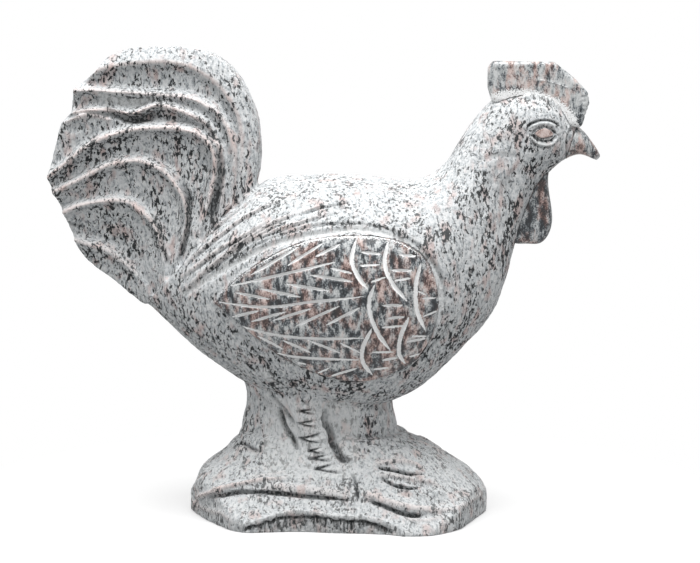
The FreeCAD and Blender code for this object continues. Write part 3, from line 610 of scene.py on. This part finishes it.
# Paler on what faces up and below 60 mm, painted light on the shanks where the belly shades them, and
# painted shade on what faces down on the bird
on_shanks = ((np.abs(places[:, 1]) > 30) & (places[:, 2] > 42) & (places[:, 2] < 104)
             & (np.abs(places[:, 0] + 20) < 40))
paler_above_and_painted_light = 0.2 * np.clip(facing[:, 2] + 0.25, 0, 1) ** 1.2 + np.where(places[:, 2] < 60, 0.12, 0.0)
paler_above_and_painted_light = np.maximum(paler_above_and_painted_light, np.where(on_shanks, 0.6, 0.0))
painted_underside_shade = 0.3 * np.clip(-facing[:, 2] - 0.1, 0, 1) * (places[:, 2] > 95)
put_share(block, "painted_highlight", painted_highlight)
put_share(block, "rough", rough)
put_share(block, "dust_and_painted_light", np.maximum(dust_and_painted_light, paler_above_and_painted_light) * (1 - painted_shade))
put_share(block, "painted_shade", np.maximum(painted_shade, painted_underside_shade))

# ---------------------------------------------------------------------------------------------------
# Finish of the block. Bush-hammered granite: the crushed skin scatters light, so quartz and feldspar
# read as one pale grey-white with a faint pink in places, and only the biotite mica stays black, in
# flecks and broken upright seams. Crests get a pale pink painted highlight, cut lines are white with
# dust and painted light, and painted shade darkens cuts, hollows and what faces down.

# Sizes in the stone in millimetres, from one grain to the next of its kind
CRYSTAL = 2.381  # quartz and feldspar
BLUSH = 9.09  # pink feldspar
FLECK = 2.564  # mica, drawn a little coarser than it is, as its smallest flecks are under a pixel
CLUSTER = 18.18  # where the flecks gather
BOOK = 5.263  # thick books of mica
SEAM = 7.692  # net of mica seams
SEAM_BREAK = 6.667  # where the seams break off
WAVER = 5.556  # unevenness of all edges, and how far it shifts them in metres
WAVER_SHIFT = 0.003
PIT = 1.923  # pits of the hammer's teeth
PIT_DEPTH = 0.0012


def colour(code):
    """An sRGB hex code as linear red, green and blue."""
    shares = [int(code[n:n + 2], 16) / 255 for n in (1, 3, 5)]
    return [s / 12.92 if s <= 0.04045 else ((s + 0.055) / 1.055) ** 2.4 for s in shares] + [1.0]


def add(tree, kind, links=(), stops=(), **settings):
    """A node with its settings, ramp stops, and links to its inputs from other nodes' outputs."""
    node = tree.nodes.new("ShaderNode" + kind)
    for name, value in settings.items():
        if name.startswith("in_"):
            key = name[3:]
            node.inputs[int(key) if key.isdigit() else key].default_value = value
        else:
            setattr(node, name, value)
    for number, (place, shade) in enumerate(stops):
        elements = node.color_ramp.elements
        element = elements[number] if number < 2 else elements.new(place)
        element.position = place
        element.color = colour(shade) if isinstance(shade, str) else [shade] * 3 + [1]
    for target, (source, output) in links:
        tree.links.new(source.outputs[output], node.inputs[target])
    return node


granite = bpy.data.materials.new("bush_hammered_granite")
granite.use_nodes = True
tree = granite.node_tree
surface = tree.nodes["Principled BSDF"]
surface.inputs["Roughness"].default_value = 0.92
surface.inputs["IOR"].default_value = 1.54
spot = add(tree, "TexCoord")
upright = add(tree, "Mapping", [("Vector", (spot, "Object"))], in_Scale=(1.0, 1.0, 0.5))
warp = add(tree, "TexNoise", [("Vector", (upright, 0))], in_Scale=1000 / WAVER, in_Detail=2.0)
# Every pattern of the stone is drawn on places that waver a little
bent = add(tree, "VectorMath", [(0, (warp, "Color")), (2, (upright, 0))],
           operation="MULTIPLY_ADD", in_1=(WAVER_SHIFT, WAVER_SHIFT, WAVER_SHIFT))
grain = add(tree, "TexNoise", [("Vector", (bent, 0))], in_Scale=1000 / CRYSTAL, in_Detail=3.0,
            in_Roughness=0.7)
pale = add(tree, "ValToRGB", [(0, (grain, "Fac"))],
           [(0.31, "#72777B"), (0.41, "#AAAFB2"), (0.49, "#CCCFD1"), (0.66, "#E0E1E1")])
blotch = add(tree, "TexNoise", [("Vector", (upright, 0))], in_Scale=1000 / BLUSH, in_Detail=2.0)
blush = add(tree, "ValToRGB", [(0, (blotch, "Fac"))], [(0.54, 0.0), (0.70, 0.5)])
pinked = add(tree, "Mix", [("Factor", (blush, 0)), (6, (pale, 0))], data_type="RGBA",
             in_7=colour("#C8A39A"))
# Painted highlight, pale pink, on crests and rolls
highlight_share = add(tree, "Attribute", attribute_name="painted_highlight")
highlight_strength = add(tree, "Math", [(0, (highlight_share, "Fac"))], operation="MULTIPLY", in_1=0.6)
highlighted = add(tree, "Mix", [("Factor", (highlight_strength, 0)), (6, (pinked, 2))], data_type="RGBA",
             in_7=colour("#F0D9D2"))
# Mica: flecks in clusters, more of them where painted shade lies, broken seams and thick books
flecks = add(tree, "TexNoise", [("Vector", (bent, 0))], in_Scale=1000 / FLECK, in_Detail=3.0,
             in_Roughness=0.65)
clusters = add(tree, "TexNoise", [("Vector", (upright, 0))], in_Scale=1000 / CLUSTER, in_Detail=3.0)
gathered = add(tree, "Math", [(0, (clusters, "Fac")), (2, (flecks, "Fac"))],
               operation="MULTIPLY_ADD", in_1=0.45)
shade_share = add(tree, "Attribute", attribute_name="painted_shade")
gathered = add(tree, "Math", [(0, (shade_share, "Fac")), (2, (gathered, 0))],
               operation="MULTIPLY_ADD", in_1=0.12)
mica = add(tree, "ValToRGB", [(0, (gathered, 0))], [(0.795, 0.0), (0.818, 1.0)])
cells = add(tree, "TexVoronoi", [("Vector", (bent, 0))], feature="DISTANCE_TO_EDGE",
            in_Scale=1000 / SEAM)
seams = add(tree, "ValToRGB", [(0, (cells, "Distance"))], [(0.0, 1.0), (0.045, 0.0)])
broken = add(tree, "TexNoise", [("Vector", (spot, "Object"))], in_Scale=1000 / SEAM_BREAK,
             in_Detail=3.0)
gaps = add(tree, "ValToRGB", [(0, (broken, "Fac"))], [(0.57, 0.0), (0.61, 1.0)])
threads = add(tree, "Math", [(0, (seams, 0)), (1, (gaps, 0))], operation="MULTIPLY")
veins = add(tree, "Mapping", [("Vector", (bent, 0))], in_Scale=(1.0, 1.0, 0.7),
            in_Location=(0.3, 0.1, 0.7))
books = add(tree, "TexNoise", [("Vector", (veins, 0))], in_Scale=1000 / BOOK, in_Detail=4.0,
            in_Roughness=0.72)
clumps = add(tree, "ValToRGB", [(0, (books, "Fac"))], [(0.632, 0.0), (0.654, 1.0)])
dark = add(tree, "Math", [(0, (mica, 0)), (1, (threads, 0))], operation="MAXIMUM")
dark = add(tree, "Math", [(0, (dark, 0)), (1, (clumps, 0))], operation="MAXIMUM",
           use_clamp=True)
black = add(tree, "Mix", [("Factor", (dark, 0)), (6, (highlighted, 2))], data_type="RGBA",
            in_7=colour("#202325"))
# Dust and painted light, and the split wall
dust_and_light_share = add(tree, "Attribute", attribute_name="dust_and_painted_light")
dust_and_light_strength = add(tree, "Math", [(0, (dust_and_light_share, "Fac"))], operation="MULTIPLY", in_1=0.7)
dusted_and_lit = add(tree, "Mix", [("Factor", (dust_and_light_strength, 0)), (6, (black, 2))], data_type="RGBA",
               in_7=colour("#EDEFEF"))
torn = add(tree, "Attribute", attribute_name="rough")
shaded = add(tree, "Math", [(0, (torn, "Fac"))], operation="MULTIPLY", in_1=0.2)
weathered = add(tree, "Mix", [("Factor", (shaded, 0)), (6, (dusted_and_lit, 2))], data_type="RGBA",
                in_7=colour("#5F6160"))
# Painted shade darkens the cuts, creases and hollows, and what faces down
shade_strength = add(tree, "Math", [(0, (shade_share, "Fac"))], operation="MULTIPLY", in_1=0.8)
with_painted_shade = add(tree, "Mix", [("Factor", (shade_strength, 0)), (6, (weathered, 2))], data_type="RGBA",
              in_7=colour("#434647"))
tree.links.new(with_painted_shade.outputs[2], surface.inputs["Base Color"])
pits = add(tree, "TexNoise", [("Vector", (spot, "Object"))], in_Scale=1000 / PIT, in_Detail=3.0)
bump = add(tree, "Bump", [("Height", (pits, "Fac"))], in_Strength=0.6, in_Distance=PIT_DEPTH)
tree.links.new(bump.outputs[0], surface.inputs["Normal"])

# ---------------------------------------------------------------------------------------------------
# Pieces of the block. It is cut into four closed pieces where the tail, the neck and the legs begin,
# which stay in place. The real one has no joint there.

# A point on each cut and the way it faces
TAIL_CUT = ((-0.086, 0, 0.25), (-0.80, 0, 0.60))
LEG_CUT = ((0, 0, 0.100), (0, 0, -1))
NECK_CUT = ((0.105, 0, 0.262), (0.6, 0, 0.8))
SMOOTH_BELOW = math.radians(40)


def cut_off(piece, point, normal, name):
    """The part of a piece beyond a plane, closed where it was cut, as a piece of its own."""
    parts = []
    for inner, outer, title in ((False, True, piece.name), (True, False, name)):
        twin = piece.copy()
        twin.data = piece.data.copy()
        twin.name = twin.data.name = title + "_half"
        bpy.context.scene.collection.objects.link(twin)
        pick(twin)
        bpy.ops.object.mode_set(mode="EDIT")
        bpy.ops.mesh.select_all(action="SELECT")
        bpy.ops.mesh.bisect(plane_co=point, plane_no=normal, use_fill=True, clear_inner=inner,
                            clear_outer=outer)
        bpy.ops.object.mode_set(mode="OBJECT")
        parts.append(twin)
    kept, beyond = parts
    title = piece.name
    bpy.data.objects.remove(piece)
    kept.name = kept.data.name = title
    beyond.name = beyond.data.name = name
    return kept, beyond


def dress(piece, material, nodes):
    """The finish, and what the frame has to know of a piece."""
    pick(piece)
    bpy.ops.object.shade_smooth_by_angle(angle=SMOOTH_BELOW)
    piece.data.materials.clear()
    piece.data.materials.append(material)
    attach(piece, "root")
    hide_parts(*nodes)


body, tail = cut_off(block, *TAIL_CUT, "tail_fan")
body.name = body.data.name = "body_of_the_bird"
body, base = cut_off(body, *LEG_CUT, "rock_and_legs")
body, head = cut_off(body, *NECK_CUT, "head_and_neck")

# The sawn underside is one flat face
pick(base)
bpy.ops.object.mode_set(mode="EDIT")
bpy.ops.mesh.select_all(action="DESELECT")
bpy.ops.object.mode_set(mode="OBJECT")
centres = np.empty(len(base.data.polygons) * 3, np.float32)
base.data.polygons.foreach_get("center", centres)
base.data.polygons.foreach_set("select", centres[2::3] < 0.000001)
bpy.ops.object.mode_set(mode="EDIT")
bpy.ops.mesh.dissolve_limited(angle_limit=math.radians(1))
bpy.ops.object.mode_set(mode="OBJECT")
dress(body, granite, ["body"])
dress(head, granite, ["body"])
dress(tail, granite, TAIL_NODES)
dress(base, granite,
      ["rock", "pillar", "right_shank", "left_shank", "right_foot", "left_foot"])

# ---------------------------------------------------------------------------------------------------
# Wings. Almond panels of the same stone, polished dark and let stand a little proud of the flanks. The
# quills, barbs and scale edges are cut through the polish with a thin disc, which leaves pale rough
# lines that taper off at both ends.

WING_VOXEL = 0.0008
# The bed behind the polish, and how far it is brought up behind the rim, as nothing behind it shows
BED_INSIDE = 36.5
BED_DEPTH = 8.0
CUT_DEPTH = 0.8
RIM_WORN = 6.0
# Lines by half their width: quills and barbs, scale edges, then short thin barbs
WING_LINES = {
    1.15: [
        [(-83.9, 202.3), (2.7, 223.9)], [(-93, 188.4), (-54, 186.2), (-17.5, 191.3), (25.3, 196.4)],
        [(-76.1, 169.6), (-47.7, 163.4), (-12, 161.2), (25.3, 162.3)],
        [(-45.3, 147.7), (-27.5, 144.7), (21.3, 143.5)], [(-66.1, 212.2), (-27.8, 235)],
        [(-36, 220.5), (-7.8, 238.4)], [(-13.5, 227.8), (6, 237.7)], [(-79.3, 197.2), (-50.8, 192.9)],
        [(-58.2, 201.1), (-25.3, 195.3)], [(-37.3, 205.7), (-1.5, 200.7)], [(-17.8, 213.4), (16.6, 208.4)],
        [(-82.4, 176.8), (-59.9, 183)], [(-65.9, 173.9), (-37.3, 183.1)], [(-47.9, 175.6), (-16.4, 186.3)],
        [(-29.8, 171.2), (6, 188.7)], [(-4.5, 172.9), (22.4, 187.4)], [(-61.5, 161.8), (-40.6, 151.4)],
        [(-40.4, 159), (-18, 149.3)], [(-18, 159.1), (6, 149.5)], [(-1.5, 129), (19.5, 136)],
        [(23.8, 231.6), (38.8, 230.2)], [(53.7, 229.5), (67, 228.1)], [(47.7, 217.3), (64.1, 216.9)],
        [(40.4, 189), (56.8, 188.9)], [(44.8, 178.5), (58.2, 179.3)], [(59.9, 158.2), (74.8, 160.2)],
        [(40.4, 143), (52.4, 144.6)],
    ],
    1.9: [
        [(18.8, 241), (15.7, 226.4), (19.7, 214.2), (28.6, 202.2)],
        [(34, 205.4), (30, 193.2), (30.9, 181), (37.5, 164.8), (46.4, 151.8)],
        [(31.7, 169.7), (24.6, 154.1), (24.6, 141), (31.9, 129.9)],
        [(44.4, 239.1), (42, 223.3), (47.9, 207.2), (59.9, 192.6)],
        [(61.5, 178.9), (55.2, 163.4), (53.7, 148.6), (58.4, 139.2)],
        [(71, 222), (67.2, 205.7), (68.1, 184.6), (75, 167.1)],
    ],
    1.1: [
        [(22, 221), (38, 222)], [(-1, 219), (16, 215)], [(50, 209), (63, 211)], [(40, 171), (57, 172)],
        [(64, 163), (76, 162)], [(32, 150), (49, 150)], [(33, 135), (45, 136)], [(6, 158), (22, 150)],
    ],
    1.0: [
        [(31, 208), (43, 212)], [(72, 194), (83, 194)], [(73, 179), (84, 183)], [(62, 145), (71, 147)],
    ],
    0.9: [[(-13, 131), (-3, 136)], [(-29, 140), (-22, 139)], [(69, 200), (75, 197)]],
}

# Polished granite: the polish lets light into the crystals, so the stone shows its own dark colour,
# dull red feldspar, blue-black mica and grey quartz, fine grained and in upright streaks of 5 to 15 mm,
# under a soft gloss. The cuts through it are pale and matt. Sizes in millimetres, as above.
POLISHED_CRYSTAL = 5.263
POLISHED_GRAIN = 1.111
STREAK = 8.696
polished = bpy.data.materials.new("polished_granite")
polished.use_nodes = True
tree = polished.node_tree
surface = tree.nodes["Principled BSDF"]
surface.inputs["IOR"].default_value = 1.54
spot = add(tree, "TexCoord")
upright = add(tree, "Mapping", [("Vector", (spot, "Object"))], in_Scale=(1.0, 1.0, 0.5))
crystals = add(tree, "TexNoise", [("Vector", (upright, 0))], in_Scale=1000 / POLISHED_CRYSTAL,
               in_Detail=5.0, in_Roughness=0.72)
fine = add(tree, "TexNoise", [("Vector", (spot, "Object"))], in_Scale=1000 / POLISHED_GRAIN,
           in_Detail=2.0)
honed_and_shaded = add(tree, "Attribute", attribute_name="honed_and_shaded")
shade = add(tree, "Math", [(0, (crystals, "Fac")), (1, (honed_and_shaded, "Fac"))], operation="ADD")
flick = add(tree, "Math", [(0, (fine, "Fac")), (2, (shade, 0))], operation="MULTIPLY_ADD",
            in_1=0.3)
slate = add(tree, "ValToRGB", [(0, (flick, 0))],
            [(0.54, "#171C21"), (0.61, "#3D4449"), (0.655, "#7A7F83"), (0.70, "#AEB2B3"), (0.80, "#D2D4D4")])
brick = add(tree, "ValToRGB", [(0, (flick, 0))],
            [(0.54, "#302524"), (0.61, "#674F4A"), (0.655, "#937D77"), (0.70, "#BBA49D"), (0.80, "#D9C9C4")])
tall = add(tree, "Mapping", [("Vector", (spot, "Object"))], in_Scale=(1.0, 1.0, 0.42),
           in_Location=(0.2, 0.5, 0.3))
streaks = add(tree, "TexNoise", [("Vector", (tall, 0))], in_Scale=1000 / STREAK, in_Detail=4.0,
              in_Roughness=0.6, in_Distortion=0.3)
rosy = add(tree, "Attribute", attribute_name="rosy")
leaning = add(tree, "Math", [(0, (streaks, "Fac")), (1, (rosy, "Fac"))], operation="ADD")
redder = add(tree, "ValToRGB", [(0, (leaning, 0))], [(0.46, 0.0), (0.60, 1.0)])
matter = add(tree, "Mix", [("Factor", (redder, 0)), (6, (slate, 0)), (7, (brick, 0))],
             data_type="RGBA")
cut = add(tree, "Attribute", attribute_name="cut")
ragged = add(tree, "Math", [(0, (fine, "Fac")), (2, (cut, "Fac"))], operation="MULTIPLY_ADD",
             in_1=0.9)
edge_of_cut = add(tree, "ValToRGB", [(0, (ragged, 0))], [(0.86, 0.0), (1.08, 1.0)])
lined = add(tree, "Mix", [("Factor", (edge_of_cut, 0)), (6, (matter, 2))], data_type="RGBA",
            in_7=colour("#FDFEFE"))
tree.links.new(lined.outputs[2], surface.inputs["Base Color"])
gloss = add(tree, "Math", [(0, (edge_of_cut, 0))], operation="MULTIPLY_ADD", in_1=0.55, in_2=0.33)
tree.links.new(gloss.outputs[0], surface.inputs["Roughness"])
grit = add(tree, "Math", [(0, (fine, "Fac")), (1, (edge_of_cut, 0))], operation="MULTIPLY")
bump = add(tree, "Bump", [("Height", (grit, 0))], in_Strength=0.6, in_Distance=0.001)
tree.links.new(bump.outputs[0], surface.inputs["Normal"])

for side, node in ((-1, "right_wing"), (1, "left_wing")):
    wing = merged_copy([node], "polished_" + node)
    places, _ = places_of(wing)
    bed = np.abs(places[:, 1]) < BED_INSIDE
    shell = places[~bed]
    for row in np.where(bed)[0]:
        gap = np.hypot(shell[:, 0] - places[row, 0], shell[:, 2] - places[row, 2])
        places[row, 1] = side * (np.abs(shell[np.argmin(gap), 1]) - BED_DEPTH)
    put_places(wing, places)
    close_over(wing, WING_VOXEL)
    apply_modifier(wing, "SMOOTH", factor=0.5, iterations=2)
    places, facing = places_of(wing)
    mark = np.zeros(len(places))
    flat = places[:, [0, 2]]
    for half_width, lines in WING_LINES.items():
        # Wide cuts of the scale edges are greyer, and every cut runs out to a point at both ends
        palest = 0.84 if half_width < 1.5 else 0.74
        for path in lines:
            near, off, _, share = along_line(flat, rounded(path), half_width * 1.5)
            point = 1 - np.abs(2 * share - 1) ** 5
            pale_line = np.clip(1.3 - off / (half_width * (0.35 + 0.65 * point)), 0, palest)
            mark[near] = np.maximum(mark[near], pale_line)
    # The polish thins out towards the bevel of the rim, most of all along its upper side
    near, off, _, share = along_line(flat, rounded(WING_EDGE), RIM_WORN)
    upper = np.clip(1.3 - np.abs(share - 0.24) / 0.22, 0, 1)
    mark[near] = np.maximum(mark[near], (0.3 + 0.35 * upper) * (1 - off / RIM_WORN))
    mark *= facing[:, 1] * side > 0.2
    put_share(wing, "cut", mark)
    put_places(wing, places - facing * (CUT_DEPTH * mark)[:, None])
    dress(wing, polished, [node])

# ---------------------------------------------------------------------------------------------------
# Comb, beak, wattles and eyes, of the same stone and polished like the wings, with softened edges.
# The comb, the beak and the eyes are only honed, so they stay paler than the wings and the wattles.

# Piece, its node, fineness of its skin in metres, how much paler and how much redder than the wings
POLISHED_PIECES = [
    ("polished_comb", "comb", 0.0009, 0.035, 0.0),
    ("polished_beak", "beak", 0.0006, 0.02, 0.0),
    ("right_polished_wattle", "right_wattle", 0.0007, -0.03, 0.0),
    ("left_polished_wattle", "left_wattle", 0.0007, -0.03, 0.0),
    ("right_polished_eye", "right_eye", 0.0004, 0.08, 1.0),
    ("left_polished_eye", "left_eye", 0.0004, 0.08, 1.0),
]
EYE_BACK = 21.0
COMB_FOOT = [(128, 355), (140, 357.5), (154, 358), (167, 356), (180, 351), (190, 344), (197, 335)]
COMB_DUST = 8.0
COMB_ARRIS = [(161, 13, 368.5), (173, 14, 367), (183, 13, 364.5), (193, 14, 360)]
COMB_NOTCHES = (354, 350, 346, 342, 338)

for name, node, voxel, paler, redder in POLISHED_PIECES:
    piece = merged_copy([node], name)
    if "eye" in name:
        places, _ = places_of(piece)
        hidden = np.abs(places[:, 1]) < 12.5
        places[hidden, 1] = np.sign(places[hidden, 1]) * EYE_BACK
        put_places(piece, places)
    close_over(piece, voxel)
    apply_modifier(piece, "SMOOTH", factor=0.5, iterations=3)
    places, facing = places_of(piece)
    cut, rosy, honed_and_shaded = np.zeros(len(places)), np.full(len(places), redder), np.full(len(places), paler)
    if name == "polished_comb":
        # Its foot is dusty from the hammer, a thin arris runs along it, and its front end is left rough
        near, off, side, _ = along_line(places[:, [0, 2]], rounded(COMB_FOOT), COMB_DUST)
        cut[near] = 0.62 * np.where(side < 0, 1, 1 - off / COMB_DUST)
        carve(places, facing, COMB_ARRIS, 1.3, -0.5, mark=cut, marked=0.55)
        front = np.clip((places[:, 0] + 0.35 * (355 - places[:, 2]) - 202) / 3, 0, 1) * (places[:, 2] < 358)
        rosy -= 0.5 * front
        # The front end is darkened below 340 mm with painted shade
        honed_and_shaded += 0.02 - 0.06 * front * (places[:, 2] < 340)
        for height in COMB_NOTCHES:
            carve(places, facing, [(200, 14, height - 1), (206, 8, height + 1), (208, 0, height)], 1.6, 0.7)
    put_places(piece, places)
    put_share(piece, "cut", cut)
    put_share(piece, "honed_and_shaded", honed_and_shaded, lowest=-1)
    put_share(piece, "rosy", rosy, lowest=-1)
    dress(piece, polished, [node])

# ---------------------------------------------------------------------------------------------------
# Studio: a pale floor that runs out of sight, a white surround, one broad soft lamp above and in
# front, and a camera at the height and distance of the photograph's.

FLOOR_SIZE = 12.0
FLOOR_SHADE = "#A8A8A8"
FADE_FROM, FADE_TO = 0.10, 0.36
SKY_LIGHT = 0.53
LAMP_PLACE = (0.0, -0.35, 1.9)
LAMP_AIM = (0, 0, 0.2)
LAMP_SIZE = 1.5
LAMP_POWER = 45.0
CAMERA_PLACE = (0.09104, -1.54625, 0.38812)
CAMERA_TILT, CAMERA_TURN = math.radians(83), math.radians(3)
CAMERA_LENS, CAMERA_SENSOR = 94.78, 36.0


def looked_at(tree):
    """1 for what is seen straight, in a reflection or through a pane, and 0 for what only lights."""
    rays = add(tree, "LightPath")
    shown = add(tree, "Math", [(0, (rays, "Is Camera Ray")), (1, (rays, "Is Glossy Ray"))],
                operation="MAXIMUM")
    return add(tree, "Math", [(0, (shown, 0)), (1, (rays, "Is Transmission Ray"))],
               operation="MAXIMUM")


bpy.ops.object.select_all(action="DESELECT")
bpy.ops.mesh.primitive_plane_add(size=FLOOR_SIZE, location=(0, 0, 0))
floor = bpy.context.active_object
floor.name = "floor"
# Matt white paper, grey in the light that it throws back, and fading into white away from the rooster
paper = bpy.data.materials.new("white_paper")
paper.use_nodes = True
tree = paper.node_tree
surface = tree.nodes["Principled BSDF"]
surface.inputs["Roughness"].default_value = 0.9
surface.inputs["Specular IOR Level"].default_value = 0.0
shown = looked_at(tree)
tint = add(tree, "Mix", [("Factor", (shown, 0))], data_type="RGBA",
           in_6=colour(FLOOR_SHADE), in_7=colour("#FFFFFF"))
tree.links.new(tint.outputs[2], surface.inputs["Base Color"])
spot = add(tree, "TexCoord")
reach = add(tree, "VectorMath", [(0, (spot, "Object"))], operation="LENGTH")
far = add(tree, "ValToRGB", [(0, (reach, "Value"))], [(FADE_FROM, 0.35), (FADE_TO, 1.0)])
fading = add(tree, "Math", [(0, (far, 0)), (1, (shown, 0))], operation="MULTIPLY")
white = add(tree, "Emission")
merged = add(tree, "MixShader", [(0, (fading, 0)), (1, (surface, 0)), (2, (white, 0))])
tree.links.new(merged.outputs[0], tree.nodes["Material Output"].inputs["Surface"])
floor.data.materials.append(paper)

world = bpy.data.worlds.new("surround")
bpy.context.scene.world = world
world.use_nodes = True
tree = world.node_tree
shine = tree.nodes["Background"]
shine.inputs["Color"].default_value = colour("#FFFFFF")
level = add(tree, "Math", [(0, (looked_at(tree), 0))], operation="MULTIPLY_ADD",
            in_1=1 - SKY_LIGHT, in_2=SKY_LIGHT)
tree.links.new(level.outputs[0], shine.inputs["Strength"])

lamp = bpy.data.lights.new("top", "AREA")
lamp.size = LAMP_SIZE
lamp.energy = LAMP_POWER
holder = bpy.data.objects.new("top", lamp)
holder.location = LAMP_PLACE
holder.rotation_euler = (Vector(LAMP_AIM) - Vector(LAMP_PLACE)).to_track_quat("-Z", "Y").to_euler()
bpy.context.scene.collection.objects.link(holder)

eye = bpy.data.cameras.new("camera")
eye.lens = CAMERA_LENS
eye.sensor_width = CAMERA_SENSOR
camera = bpy.data.objects.new("camera", eye)
camera.location = CAMERA_PLACE
camera.rotation_euler = (CAMERA_TILT, 0, CAMERA_TURN)
bpy.context.scene.collection.objects.link(camera)
bpy.context.scene.camera = camera
bpy.context.scene.view_settings.view_transform = "Standard"
